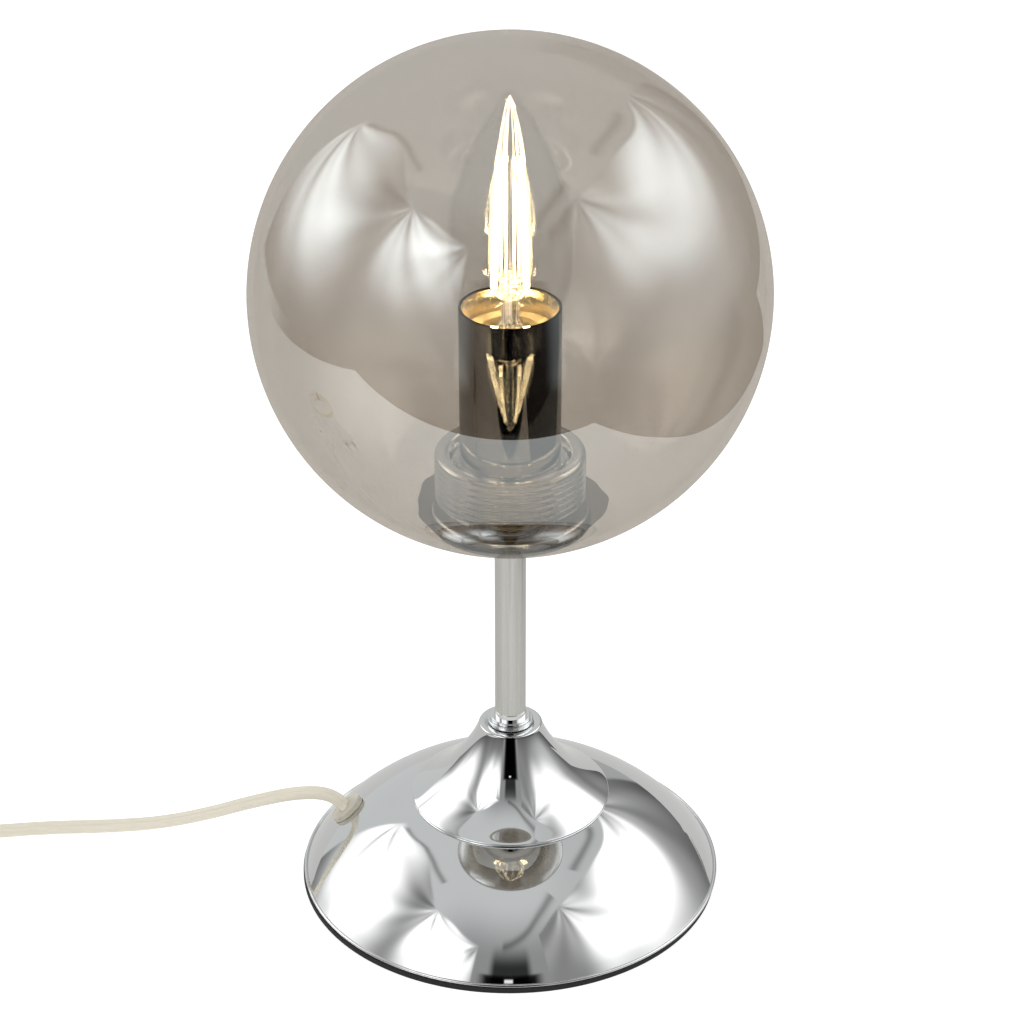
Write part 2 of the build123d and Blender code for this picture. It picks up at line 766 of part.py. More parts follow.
with BuildPart() as filaments:
    for low, high in zip(ring_points(filament_low_ring_r, filament_foot),
                         ring_points(filament_high_ring_r, filament_head)):
        with BuildSketch(Plane(origin=low, z_dir=high - low)):
            Circle(filament_r)
        extrude(amount=(high - low).length)
save(filaments, "filaments")

# a wire leads from each filament's end to the mount, and stops short of both by its own radius
with BuildPart() as filament_wires:
    wire_ends = []
    for ring_r, z, step in ((filament_low_ring_r, filament_foot, -1),
                            (filament_high_ring_r, filament_head, 1)):
        share = (mount_r + fit) / ring_r
        for end in ring_points(ring_r, z):
            start = end + Vector(0, 0, step * wire_r)
            wire_ends.append((start, Vector(start.X * share, start.Y * share, start.Z + step * wire_rise)))
    for start, end in wire_ends:
        with BuildSketch(Plane(origin=start, z_dir=end - start)):
            Circle(wire_r)
        extrude(amount=(end - start).length)
save(filament_wires, "filament_wires")

with BuildPart() as driver_board:
    board_z = cap_bottom + insulator_plug_t + board_size / 2
    with BuildSketch(Plane.XZ):
        with Locations((0, board_z)):
            Rectangle(board_size, board_size)
    extrude(amount=board_t / 2, both=True)
    with BuildSketch(Plane.XZ.offset(board_t / 2)):
        with Locations((0, board_z)):
            Rectangle(board_size / 2, board_size / 2)
    extrude(amount=board_t)
save(driver_board, "driver_board")


# ================================================================ cord
def bend_radii(points):
    """Largest arc at each corner of a route: 0.45 of the shorter run over the tangent of half the turn."""
    radii = []
    for before, corner, after in zip(points, points[1:], points[2:]):
        run_in = Vector(corner) - Vector(before)
        run_out = Vector(after) - Vector(corner)
        half_turn = math.radians(run_in.get_angle(run_out)) / 2
        radii.append(0.45 * min(run_in.length, run_out.length) / math.tan(half_turn))
    return radii


def cord_piece(name, points, across, width=cord_w, thick=cord_t):
    """A flat cord, or a round wire where width and thickness are equal, along a route of runs and arcs."""
    radii = bend_radii(points)
    start = Vector(points[0])
    first = Plane(origin=start, x_dir=across, z_dir=Vector(points[1]) - start)
    with BuildPart() as cord:
        with BuildLine() as route:
            FilletPolyline(*points, radius=radii)
        with BuildSketch(first):
            if width > thick:
                SlotOverall(width, thick)
            else:
                Circle(thick / 2)
        sweep(path=route.wire())
    section = math.pi * thick**2 / 4 + (width - thick) * thick
    long = route.wire().length
    print(f"{name}: {long:.1f} mm long, volume over section times length "
          f"{cord.part.volume / (section * long):.4f}, radii", [round(r, 1) for r in radii])
    save(cord, name)
    return long


floor_z = cord_t / 2
slot_z = plate_top + weight_slot_floor + cord_t / 2 + seat_play
gland = grommet_point + grommet_dir * (grommet_flange_t + seat_play)
inward = Vector(grommet_x, grommet_y, 0).normalized()
inner_route = [
    gland,
    grommet_point - grommet_dir * ((grommet_point.Z - slot_z) / grommet_dir.Z),
    Vector(0, 0, slot_z) + inward * inner_far,
    Vector(0, 0, slot_z + inner_lift) + inward * inner_near,
    Vector(0, 0, slot_z + inner_rise),
    Vector(0, 0, tube_end),
]
cord_piece("inner_cord", inner_route, grommet_across)

switch_in = (switch_x + switch_len / 2 - cord_hold, switch_y, switch_cord_h)
switch_out = (switch_x - switch_len / 2 + cord_hold, switch_y, switch_cord_h)
front_route = [
    gland,
    gland + grommet_dir * 5.4,
    (-67.0, 9.4, 21.9),
    (-81.0, 9.6, 18.4),
    (-97.5, 11.6, 11.8),
    (-113.5, 15.2, 5.9),
    (-130.0, 18.8, 2.2),
    (-148.0, 19.4, floor_z),
    (-168.0, 16.6, 1.6),
    (-184.5, 11.4, 3.6),
    (-197.5, switch_y, switch_cord_h),
    switch_in,
]
front_length = cord_piece("cord_front", front_route, grommet_across)

coil_out_r = coil_mid_r + coil_columns * cord_w / 2
coil_height = coil_layers * (cord_t + coil_turn_gap)
coil_lay_r = coil_out_r - cord_w / 2
middle_route = [
    switch_out,
    (-274.0, switch_y, switch_cord_h),
    (-286.0, 9.3, 2.9),
    (-299.0, 9.5, tie_t + floor_z),
    (coil_x + coil_meet, coil_y + coil_lay_r - 0.6, tie_t + floor_z),
]
middle_length = cord_piece("cord_middle", middle_route, (0, 1, 0))

relief_end = (plug_x - plug_body_len - plug_relief_len, plug_y, plug_t / 2)
coil_exit_z = tie_t + coil_height - cord_t / 2
tail_route = [
    (coil_x + coil_meet, coil_y - coil_lay_r + 0.8, coil_exit_z),
    (coil_x + 25.0, coil_y - coil_lay_r + 1.2, coil_exit_z - 1.2),
    (coil_x + 39.0, plug_y, plug_t / 2),
    relief_end,
]
tail_length = cord_piece("cord_tail", tail_route, (0, 1, 0))

with BuildPart() as cord_coil:
    with BuildSketch(Plane.XZ):
        with Locations((coil_mid_r, tie_t + coil_height / 2)):
            RectangleRounded(coil_columns * cord_w, coil_height, cord_t)
    revolve(axis=Axis.Z)
    cord_coil.part = cord_coil.part.moved(Location((coil_x, coil_y, 0)))
save(cord_coil, "cord_coil")
coil_length = cord_length - front_length - middle_length - tail_length - switch_len
print(f"turns that make {cord_length:.0f} mm of cord: {coil_length / (2 * math.pi * coil_mid_r):.2f}")

# a flat tie round the bundle, on the coil's far side
with BuildPart() as coil_tie:
    tie_plane = Plane(origin=(coil_x - coil_mid_r, coil_y, 0), x_dir=(-1, 0, 0), z_dir=(0, 1, 0))
    with BuildSketch(tie_plane.offset(-tie_w / 2)):
        with Locations((0, tie_t + coil_height / 2)):
            RectangleRounded(coil_columns * cord_w + 2 * (tie_t + tie_play), coil_height + 2 * tie_t,
                             cord_t)
            RectangleRounded(coil_columns * cord_w + 2 * tie_play, coil_height, cord_t - tie_t,
                             mode=Mode.SUBTRACT)
    extrude(amount=tie_w)
save(coil_tie, "coil_tie")

# ================================================================ cord switch
cord_hole = (cord_w + 2 * cord_gap, cord_t + 2 * cord_gap)


def switch_half(bottom, height, open_side, edge_pick):
    """One half of the switch's case, hollow towards the other half, with the cord's holes cut."""
    with BuildPart() as half:
        with BuildSketch(Plane.XY.offset(bottom)):
            with Locations((switch_x, switch_y)):
                RectangleRounded(switch_len, switch_w, switch_corner_r)
        extrude(amount=height)
        fillet(half.edges().group_by(Axis.Z)[edge_pick], switch_edge)
        inside = bottom + switch_wall if open_side > 0 else bottom
        with BuildSketch(Plane.XY.offset(inside)):
            with Locations((switch_x, switch_y)):
                RectangleRounded(switch_len - 2 * switch_wall, switch_w - 2 * switch_wall,
                                 switch_corner_r - switch_wall)
        extrude(amount=height - switch_wall, mode=Mode.SUBTRACT)
        with BuildSketch(Plane.YZ.offset(switch_x)):
            with Locations((switch_y, switch_cord_h)):
                SlotOverall(*cord_hole)
        extrude(amount=switch_len, both=True, mode=Mode.SUBTRACT)
    return half


base_blank = switch_half(0, switch_split_h, 1, 0)
screw_spots = [(switch_x + side * switch_screw_dx, switch_y - side * switch_screw_dy)
               for side in (-1, 1)]
with BuildPart() as switch_base:
    add(base_blank.part)
    with BuildSketch(Plane.XY.offset(switch_wall / 2)):
        with Locations(*screw_spots):
            Circle(switch_boss_r)
    extrude(amount=switch_split_h - switch_wall / 2)
    with Locations(*[(x, y, 0) for x, y in screw_spots]):
        Hole(switch_screw_r + fit)
    with BuildSketch(Plane.XY):
        with Locations(*screw_spots):
            Circle(switch_screw_head_r + fit)
    extrude(amount=switch_screw_sink, mode=Mode.SUBTRACT)
save(switch_base, "switch_base")

pivot_z = switch_h - rocker_rise
with BuildPart() as switch_cover:
    add(switch_half(switch_split_h, switch_h - switch_split_h, -1, -1).part)
    with BuildSketch(Plane.XY.offset(switch_split_h)):
        with Locations(*screw_spots):
            Circle(switch_boss_r)
    extrude(amount=switch_h - switch_split_h - switch_wall / 2)
    with BuildSketch(Plane.XY.offset(switch_split_h)):
        with Locations(*screw_spots):
            Circle(switch_screw_r + fit)
    extrude(amount=switch_screw_reach, mode=Mode.SUBTRACT)
    # two ears carry the rocker's pivot
    with BuildSketch(Plane.XY.offset(pivot_z - ear_drop)):
        for side_y in (1, -1):
            with Locations((switch_x, switch_y + side_y * (rocker_w / 2 + rocker_gap + ear_w / 2))):
                Rectangle(ear_len, ear_w)
    extrude(amount=switch_h - switch_wall / 2 - pivot_z + ear_drop)
    with BuildSketch(Plane.XY.offset(switch_split_h)):
        with Locations((switch_x, switch_y)):
            Rectangle(rocker_len + 2 * rocker_gap, rocker_w + 2 * rocker_gap)
    extrude(amount=switch_h, mode=Mode.SUBTRACT)
    with BuildSketch(Plane.XZ.offset(-switch_y)):
        with Locations((switch_x, pivot_z)):
            Circle(rocker_pivot_r + fit)
    extrude(amount=rocker_w / 2 + rocker_gap + ear_w, both=True, mode=Mode.SUBTRACT)
save(switch_cover, "switch_cover")

# the rocker: two flat wings that meet over the pivot, resting tilted to its "on" side
tilt = math.radians(rocker_tilt)
rocker_plane = Plane(origin=(switch_x, switch_y, pivot_z), x_dir=(math.cos(tilt), 0, math.sin(tilt)),
                     z_dir=(0, -1, 0))
with BuildPart() as switch_rocker:
    with BuildSketch(rocker_plane):
        half_len = rocker_len / 2 - rocker_gap
        wing_rise = half_len * math.tan(tilt)
        waist = half_len - rocker_waist
        foot_z = -rocker_depth
        with BuildLine():
            Polyline((0, rocker_rise), (half_len, rocker_rise + wing_rise), (waist, rocker_waist),
                     (rocker_foot_w / 2, foot_z), (-rocker_foot_w / 2, foot_z), (-waist, rocker_waist),
                     (-half_len, rocker_rise + wing_rise), (0, rocker_rise))
        make_face()
        Circle(rocker_pivot_r + run_gap, mode=Mode.SUBTRACT)
    extrude(amount=rocker_w / 2, both=True)
save(switch_rocker, "switch_rocker")

with BuildPart() as switch_pivot:
    with BuildSketch(Plane.XZ.offset(-switch_y)):
        with Locations((switch_x, pivot_z)):
            Circle(rocker_pivot_r)
    extrude(amount=rocker_w / 2 + rocker_gap + ear_w, both=True)
save(switch_pivot, "switch_pivot")

with BuildPart() as switch_contacts:
    for side_x in (1, -1):
        with BuildSketch(Plane.XY.offset(switch_wall)):
            with Locations((switch_x + side_x * contact_dx, switch_y)):
                Rectangle(contact_foot[0], contact_foot[1])
        extrude(amount=contact_foot[2])
        with BuildSketch(Plane.XY.offset(switch_wall + contact_foot[2])):
            with Locations((switch_x + side_x * contact_dx, switch_y)):
                Rectangle(contact_blade[0], contact_blade[1])
        extrude(amount=contact_blade[2])
save(switch_contacts, "switch_contacts")

with BuildPart() as switch_screws:
    with BuildSketch(Plane.XY.offset(switch_screw_sink - switch_screw_head_t)):
        with Locations(*screw_spots):
            Circle(switch_screw_head_r)
    extrude(amount=switch_screw_head_t)
    with BuildSketch(Plane.XY.offset(switch_screw_sink)):
        with Locations(*screw_spots):
            Circle(switch_screw_r)
    extrude(amount=switch_split_h + 1.0)
save(switch_screws, "switch_screws")

# ================================================================ plug
plug_z = plug_t / 2
plug_back = plug_x - plug_body_len


def pin_frame(side_y):
    """Plane at the foot of a plug pin, leaning a little towards the other pin."""
    lean = math.atan2((pin_space - pin_space_tip) / 2, pin_len)
    return Plane(origin=(plug_x, plug_y + side_y * pin_space / 2, plug_z), x_dir=(0, 1, 0),
                 z_dir=(math.cos(lean), -side_y * math.sin(lean), 0))


with BuildPart() as plug_body:
    with BuildSketch(Plane.XY.offset(plug_z)):
        with BuildLine():
            Polyline((plug_x, plug_y - plug_w / 2), (plug_x, plug_y + plug_w / 2),
                     (plug_x - plug_shoulder_len, plug_y + plug_w / 2), (plug_back, plug_y + plug_neck_w / 2),
                     (plug_back, plug_y - plug_neck_w / 2), (plug_x - plug_shoulder_len, plug_y - plug_w / 2),
                     (plug_x, plug_y - plug_w / 2))
        make_face()
    extrude(amount=plug_t / 2, both=True)
    fillet(plug_body.edges().filter_by(Axis.Z), plug_corner_r)
    chamfer(plug_body.edges().group_by(Axis.Z)[-1] + plug_body.edges().group_by(Axis.Z)[0], plug_edge)
    with BuildSketch(Plane(origin=(plug_back, plug_y, plug_z), x_dir=(0, 1, 0), z_dir=(-1, 0, 0))):
        RectangleRounded(*relief_root)
    with BuildSketch(Plane(origin=(plug_back - plug_relief_len, plug_y, plug_z), x_dir=(0, 1, 0),
                           z_dir=(-1, 0, 0))):
        RectangleRounded(*relief_tip)
    loft()
    for side_y in (1, -1):
        with BuildSketch(pin_frame(side_y).offset(-pin_root - 0.5)):
            Circle(pin_r + fit)
        extrude(amount=2 * pin_root + 1.0, mode=Mode.SUBTRACT)
save(plug_body, "plug_body")

with BuildPart() as plug_pins:
    for side_y in (1, -1):
        with BuildSketch(pin_frame(side_y).offset(-pin_root)):
            Circle(pin_r - pin_sleeve_wall - fit)
        extrude(amount=pin_root + pin_len)
        with BuildSketch(pin_frame(side_y).offset(pin_sleeve_len + fit)):
            Circle(pin_r)
        extrude(amount=pin_len - pin_sleeve_len - fit)
    fillet(plug_pins.edges().group_by(Axis.X)[-1], pin_tip_round)
save(plug_pins, "plug_pins")

with BuildPart() as pin_sleeves:
    for side_y in (1, -1):
        with BuildSketch(pin_frame(side_y).offset(-pin_root)):
            Circle(pin_r)
            Circle(pin_r - pin_sleeve_wall, mode=Mode.SUBTRACT)
        extrude(amount=pin_root + pin_sleeve_len)
save(pin_sleeves, "pin_sleeves")

# ================================================================ wires in the socket and cord clamp
terminal_z = holder_bottom - terminal_head_t / 2
for name, side_y in (("live_wire", 1), ("neutral_wire", -1)):
    cord_piece(name, [
        (0, side_y * cord_t / 2, tube_end),
        (0, side_y * cord_t / 2, terminal_z),
        (0, side_y * (terminal_offset - terminal_head_r - fit), terminal_z),
    ], (0, 1, 0), core_d, core_d)

clamp_plane = Plane(origin=Vector(0, 0, plate_top + weight_slot_floor) + inward * clamp_x,
                    x_dir=inward, z_dir=(0, 0, 1))
clamp_under = cord_t + 2 * seat_play
with BuildPart() as cord_clamp:
    with BuildSketch(clamp_plane.offset(clamp_under)):
        Rectangle(clamp_along, clamp_across)
    extrude(amount=clamp_t)
    with BuildSketch(clamp_plane):
        for side_y in (1, -1):
            with Locations((0, side_y * (clamp_across - clamp_leg) / 2)):
                Rectangle(clamp_along, clamp_leg)
    extrude(amount=clamp_under)
save(cord_clamp, "cord_clamp")

print(f"bulb tip {bulb_tip:.1f}, globe inside top {globe_z + globe_r - globe_wall:.1f}, "
      f"globe centre {globe_z:.1f}, mouth {mouth_z:.1f}")
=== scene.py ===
import json
import math

import bpy
import numpy as np
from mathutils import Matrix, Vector


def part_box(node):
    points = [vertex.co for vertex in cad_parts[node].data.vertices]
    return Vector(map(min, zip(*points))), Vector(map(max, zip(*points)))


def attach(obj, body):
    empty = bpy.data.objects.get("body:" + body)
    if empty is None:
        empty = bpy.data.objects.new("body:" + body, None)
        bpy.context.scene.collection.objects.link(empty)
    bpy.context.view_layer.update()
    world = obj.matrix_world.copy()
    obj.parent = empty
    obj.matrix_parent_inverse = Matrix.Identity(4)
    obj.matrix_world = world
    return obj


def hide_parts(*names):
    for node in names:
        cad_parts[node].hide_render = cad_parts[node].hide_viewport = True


# A table lamp with a smoked glass globe and a chromed foot, in metres and in the frame of its CAD model.
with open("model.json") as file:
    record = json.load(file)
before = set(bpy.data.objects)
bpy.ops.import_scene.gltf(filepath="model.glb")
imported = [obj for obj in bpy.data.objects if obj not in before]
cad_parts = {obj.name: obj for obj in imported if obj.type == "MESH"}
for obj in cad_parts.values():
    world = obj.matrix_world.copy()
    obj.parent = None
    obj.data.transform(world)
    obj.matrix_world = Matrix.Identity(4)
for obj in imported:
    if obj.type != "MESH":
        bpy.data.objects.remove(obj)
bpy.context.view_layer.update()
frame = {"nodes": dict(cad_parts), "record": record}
nodes = frame["nodes"]
scene = bpy.context.scene


def box_corners(node):
    """Lowest and highest corner of a CAD node."""
    low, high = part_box(node)
    return Vector(low), Vector(high)


def smooth_step(value, low, high):
    """0 below low, 1 above high, smooth between them; low may be the higher one."""
    t = np.clip((value - low) / (high - low), 0, 1)
    return t * t * (3 - 2 * t)


# ================================================================ camera, at the photograph's angle
camera_place = (0.0008, -0.7595, 0.5450)
camera_pitch = 28.77
camera_lens = 102.4

camera_data = bpy.data.cameras.new("camera")
camera_data.sensor_width = 36
camera_data.lens = camera_lens
camera = bpy.data.objects.new("camera", camera_data)
camera.location = camera_place
camera.rotation_euler = (math.radians(90 - camera_pitch), 0, 0)
scene.collection.objects.link(camera)
scene.camera = camera

# ================================================================ how materials are made


class Finish:
    """A procedural material round one principled shader."""

    def __init__(self, name, color, roughness, metallic=0.0):
        self.material = bpy.data.materials.new(name)
        self.material.use_nodes = True
        self.tree = self.material.node_tree
        self.shader = self.tree.nodes["Principled BSDF"]
        self.shader.inputs["Base Color"].default_value = (*color, 1)
        self.shader.inputs["Roughness"].default_value = roughness
        self.shader.inputs["Metallic"].default_value = metallic
        self.place = self.tree.nodes.new("ShaderNodeTexCoord").outputs["Object"]

    def node(self, kind, inputs=None, **settings):
        """A new node with its settings and its sockets filled, each with a value or another socket."""
        node = self.tree.nodes.new("ShaderNode" + kind)
        for key, value in settings.items():
            setattr(node, key, value)
        for key, value in (inputs or {}).items():
            if isinstance(value, bpy.types.NodeSocket):
                self.tree.links.new(value, node.inputs[key])
            else:
                node.inputs[key].default_value = value
        return node

    def stretched(self, scale):
        """The piece's own coordinates, scaled along each axis."""
        return self.node("Mapping", {"Vector": self.place, "Scale": scale}).outputs["Vector"]

    def noise(self, scale, detail=4, stretch=(1, 1, 1)):
        """A noise value over the piece."""
        return self.node("TexNoise", {"Vector": self.stretched(stretch), "Scale": scale,
                                      "Detail": detail}).outputs["Fac"]

    def spread(self, value, low, high, low_in=0.3, high_in=0.7):
        """A value stretched from one range to another."""
        return self.node("MapRange", {"Value": value, "From Min": low_in, "From Max": high_in,
                                      "To Min": low, "To Max": high}).outputs["Result"]

    def blend(self, value, first, second):
        """A colour between two colours."""
        node = self.node("Mix", data_type="RGBA")
        self.tree.links.new(value, node.inputs["Factor"])
        node.inputs[6].default_value = (*first, 1)
        node.inputs[7].default_value = (*second, 1)
        return node.outputs[2]

    def set(self, **sockets):
        """Fill the shader's own sockets, each with a value or another node's output."""
        for key, value in sockets.items():
            socket = self.shader.inputs[key.replace("_", " ").title().replace("Ior", "IOR")]
            if isinstance(value, bpy.types.NodeSocket):
                self.tree.links.new(value, socket)
            else:
                socket.default_value = value
        return self

    def bump(self, height, distance):
        """Raise the surface by a height value."""
        bump = self.node("Bump", {"Height": height, "Distance": distance, "Strength": 1.0})
        self.tree.links.new(bump.outputs["Normal"], self.shader.inputs["Normal"])
        return self

    def calculate(self, operation, first, second):
        """One calculation with two values."""
        return self.node("Math", {0: first, 1: second}, operation=operation).outputs[0]

    def facing(self):
        """0 where the surface faces the viewer, 1 at its edges."""
        return self.node("LayerWeight", {"Blend": 0.5}).outputs["Facing"]

    def passing(self, tint):
        """Light that goes straight on through the surface, in this tint."""
        return self.node("BsdfTransparent", {"Color": (*tint, 1)}).outputs[0]

    def shining(self, color, strength):
        """A surface that gives light of its own."""
        return self.node("Emission", {"Color": color, "Strength": strength}).outputs[0]

    def mix(self, share, first, second):
        """Two shaders mixed: the first where the share is 0, the second where it is 1."""
        return self.node("MixShader", {0: share, 1: first, 2: second}).outputs[0]

    def surface(self, shader):
        """Let the piece show this shader."""
        self.tree.links.new(shader, self.tree.nodes["Material Output"].inputs["Surface"])
        return self

    def clear_to_lamps(self):
        """Let the lamps' light through, as clear glass does."""
        is_shadow = self.node("LightPath").outputs["Is Shadow Ray"]
        return self.surface(self.mix(is_shadow, self.shader.outputs[0], self.passing((0.98, 0.98, 0.97))))

    def thin_glass(self, tint, straight, grazing):
        """A thin clear wall: this tint shines through, and the shader mirrors more towards its edges."""
        edge_power = 5.0
        steep = self.calculate("POWER", self.facing(), edge_power)
        share = self.spread(steep, straight, grazing, 0.0, 1.0)
        return self.surface(self.mix(share, self.passing(tint), self.shader.outputs[0]))

    def veil(self):
        """A haze of painted glow that is thick where it faces the viewer and fades out towards its edges."""
        fade_power = 2.5
        middle = self.calculate("SUBTRACT", 1.0, self.facing())
        share = self.calculate("POWER", middle, fade_power)
        return self.surface(self.mix(share, self.passing((1, 1, 1)), self.shader.outputs[0]))


# ================================================================ materials
chrome = Finish("chrome", (0.70, 0.71, 0.72), 0.03, 1.0)
chrome.set(roughness=chrome.spread(chrome.noise(160, 6), 0.015, 0.05),
           base_color=chrome.blend(chrome.noise(30, 3), (0.68, 0.69, 0.705), (0.73, 0.74, 0.74)))

dark_chrome = Finish("dark_chrome", (0.42, 0.40, 0.38), 0.04, 1.0)
dark_chrome.set(roughness=dark_chrome.spread(dark_chrome.noise(160, 6), 0.02, 0.06))

stem_metal = Finish("stem_metal", (0.62, 0.62, 0.60), 0.3, 1.0)
stem_metal.set(roughness=stem_metal.spread(stem_metal.noise(900, 5, (1, 1, 0.02)), 0.22, 0.38),
               base_color=stem_metal.blend(stem_metal.noise(40, 3), (0.58, 0.58, 0.555), (0.64, 0.64, 0.62)))

smoked = Finish("smoked_glass", (0.90, 0.97, 1.0), 0.0, 1.0)
smoked.set(roughness=smoked.spread(smoked.noise(60, 3), 0.0, 0.012))
smoked.thin_glass((0.60, 0.552, 0.498), straight=0.22, grazing=0.36)

tinted = Finish("smoked_glass_inside", (0.90, 0.89, 0.87), 0.0, 1.0)
tinted.set(roughness=tinted.spread(tinted.noise(60, 3), 0.0, 0.012))
tinted.thin_glass((1, 1, 1), straight=0.02, grazing=0.08)

neck_glass = Finish("neck_glass", (0.97, 0.89, 0.76), 0.0)
neck_glass.set(transmission_weight=1.0, ior=1.56,
               roughness=neck_glass.spread(neck_glass.noise(300, 4), 0.0, 0.03))
neck_glass.clear_to_lamps()

bulb_clear = Finish("bulb_glass", (0.95, 0.95, 0.94), 0.0, 1.0)
bulb_clear.set(roughness=bulb_clear.spread(bulb_clear.noise(300, 4), 0.0, 0.02))
bulb_clear.thin_glass((0.995, 0.995, 0.99), straight=0.012, grazing=0.22)

# painted highlights: the glass mount shines in upright lines, for the bright streaks of the filaments' light
# on it
mount_glass = Finish("mount_glass", (0.95, 0.94, 0.90), 0.0, 1.0)
painted_highlight_lines = mount_glass.noise(1400, 1, (1, 1, 0.03))
mount_glass.set(roughness=mount_glass.spread(mount_glass.noise(500, 4), 0.0, 0.05),
                emission_color=(1.0, 0.95, 0.82, 1),
                emission_strength=mount_glass.spread(painted_highlight_lines, 0.0, 2.4, 0.45, 0.6))
mount_glass.thin_glass((0.97, 0.965, 0.945), straight=0.30, grazing=0.80)

# painted glow round the filaments
halo = Finish("halo", (0.0, 0.0, 0.0), 1.0)
halo.set(emission_color=halo.blend(halo.noise(300, 3), (1.0, 0.80, 0.46), (1.0, 0.87, 0.60)),
         emission_strength=4.0)
halo.veil()

# painted glints in the streaks of light of the bulb's tip
gleam = Finish("gleam", (1.0, 0.9, 0.7), 0.3)
gleam.set(emission_color=gleam.blend(gleam.noise(700, 3), (1.0, 0.80, 0.45), (1.0, 0.95, 0.82)),
          emission_strength=gleam.spread(gleam.noise(500, 3), 1.2, 5.0))

# painted shade: a dark, mirroring tint round the neck for the neck and socket mirrored in the globe
painted_neck_shade = Finish("painted_neck_shade", (0.60, 0.55, 0.50), 0.04, 1.0)
painted_neck_shade.set(roughness=painted_neck_shade.spread(painted_neck_shade.noise(200, 5), 0.02, 0.08))
painted_neck_shade.bump(painted_neck_shade.noise(90, 3), 0.0006)
painted_neck_shade.thin_glass((0.24, 0.20, 0.17), straight=0.50, grazing=0.60)

# painted sparkle: glints of emission in the glass foot
sparkle = Finish("sparkle", (1.0, 0.97, 0.90), 0.0)
sparkle.set(transmission_weight=1.0, ior=1.5,
            emission_color=sparkle.blend(sparkle.noise(900, 3), (1.0, 0.62, 0.20), (1.0, 0.90, 0.66)),
            emission_strength=sparkle.spread(sparkle.noise(1100, 2), 0.0, 3.0, 0.46, 0.62))
sparkle.clear_to_lamps()

# painted glow: the gold of the bulb's light inside the socket shell
lit_gold = Finish("lit_gold", (0.88, 0.72, 0.40), 0.25, 1.0)
lit_gold.set(roughness=lit_gold.spread(lit_gold.noise(300, 4), 0.18, 0.32),
             emission_color=(1.0, 0.84, 0.50, 1), emission_strength=0.42)

glow = Finish("filament", (1.0, 0.86, 0.52), 0.5)
glow.set(emission_color=glow.blend(glow.noise(900, 3), (1.0, 0.74, 0.36), (1.0, 0.86, 0.60)),
         emission_strength=180.0)

black_foam = Finish("black_foam", (0.012, 0.012, 0.013), 0.85)
black_foam.bump(black_foam.noise(2500, 4), 0.0003)

seal = Finish("seal", (0.80, 0.80, 0.79), 0.35)
seal.set(transmission_weight=0.5, roughness=seal.spread(seal.noise(300), 0.25, 0.45))

light_metal = Finish("light_metal", (0.80, 0.80, 0.79), 0.25, 1.0)
light_metal.set(roughness=light_metal.spread(light_metal.noise(1500, 4, (0.05, 0.05, 1)), 0.15, 0.35))

steel = Finish("steel", (0.50, 0.51, 0.52), 0.4, 1.0)
steel.set(roughness=steel.spread(steel.noise(500, 5), 0.3, 0.5))

cast = Finish("cast", (0.06, 0.06, 0.065), 0.7, 0.6)
cast.bump(cast.noise(700, 8), 0.0005)

brass = Finish("brass", (0.80, 0.60, 0.24), 0.2, 1.0)
brass.set(roughness=brass.spread(brass.noise(600, 5), 0.12, 0.3))

cream = Finish("cream_plastic", (0.80, 0.70, 0.48), 0.45)
cream.set(roughness=cream.spread(cream.noise(500, 4), 0.38, 0.55), subsurface_weight=0.0)
cream.bump(cream.noise(1800, 3), 0.00004)

black_plastic = Finish("black_plastic", (0.018, 0.018, 0.019), 0.4)
black_plastic.bump(black_plastic.noise(1800, 3), 0.00005)

white_plastic = Finish("white_plastic", (0.62, 0.61, 0.585), 0.32)
white_plastic.set(roughness=white_plastic.spread(white_plastic.noise(350, 5), 0.22, 0.36))
white_plastic.bump(white_plastic.noise(1500, 3), 0.000008)

clear_plastic = Finish("clear_plastic", (0.92, 0.87, 0.75), 0.22)
clear_plastic.set(transmission_weight=0.55, ior=1.45)

jacket = Finish("cord_jacket", (0.84, 0.79, 0.675), 0.25)
jacket.set(transmission_weight=0.25, ior=1.45)

wire_brown = Finish("wire_brown", (0.20, 0.09, 0.04), 0.4)
wire_brown.bump(wire_brown.noise(1500, 3), 0.00004)
wire_blue = Finish("wire_blue", (0.05, 0.14, 0.45), 0.4)
wire_blue.bump(wire_blue.noise(1500, 3), 0.00004)
board = Finish("board", (0.03, 0.16, 0.06), 0.35)
board.bump(board.noise(900, 6), 0.0001)
wire_metal = Finish("wire_metal", (0.70, 0.69, 0.66), 0.2, 1.0)
wire_metal.set(roughness=wire_metal.spread(wire_metal.noise(900, 4), 0.15, 0.3))

finishes = {
    "chrome": chrome, "stem_metal": stem_metal, "light_metal": light_metal, "steel": steel, "cast": cast,
    "brass": brass, "smoked_glass": smoked, "clear_glass": bulb_clear, "filament": glow,
    "black_foam": black_foam, "seal": seal, "clear_plastic": clear_plastic, "cream_plastic": cream,
    "black_plastic": black_plastic, "white_plastic": white_plastic, "cord_jacket": jacket,
    "wire_brown": wire_brown, "wire_blue": wire_blue, "board": board, "wire_metal": wire_metal,
}
own_finish = {"socket_shell": dark_chrome, "seat_dish": dark_chrome, "bulb_mount": mount_glass}
slots = {piece["node"]: piece["material_slot"] for piece in frame["record"]["subparts"]}
for name, node in nodes.items():
    node.data.materials.clear()
    node.data.materials.append(own_finish.get(name, finishes[slots[name]]).material)

# ================================================================ cord
# Its route runs through these points. Up to the coil they are those of the CAD model, with three more inside
# the switch. The coil is drawn turn by turn, and the tail leaves its top turn.
cord_width = 0.0054
cord_thick = 0.0027
lay = cord_thick / 2
tie_thick = 0.0003
floor_lay = tie_thick + lay

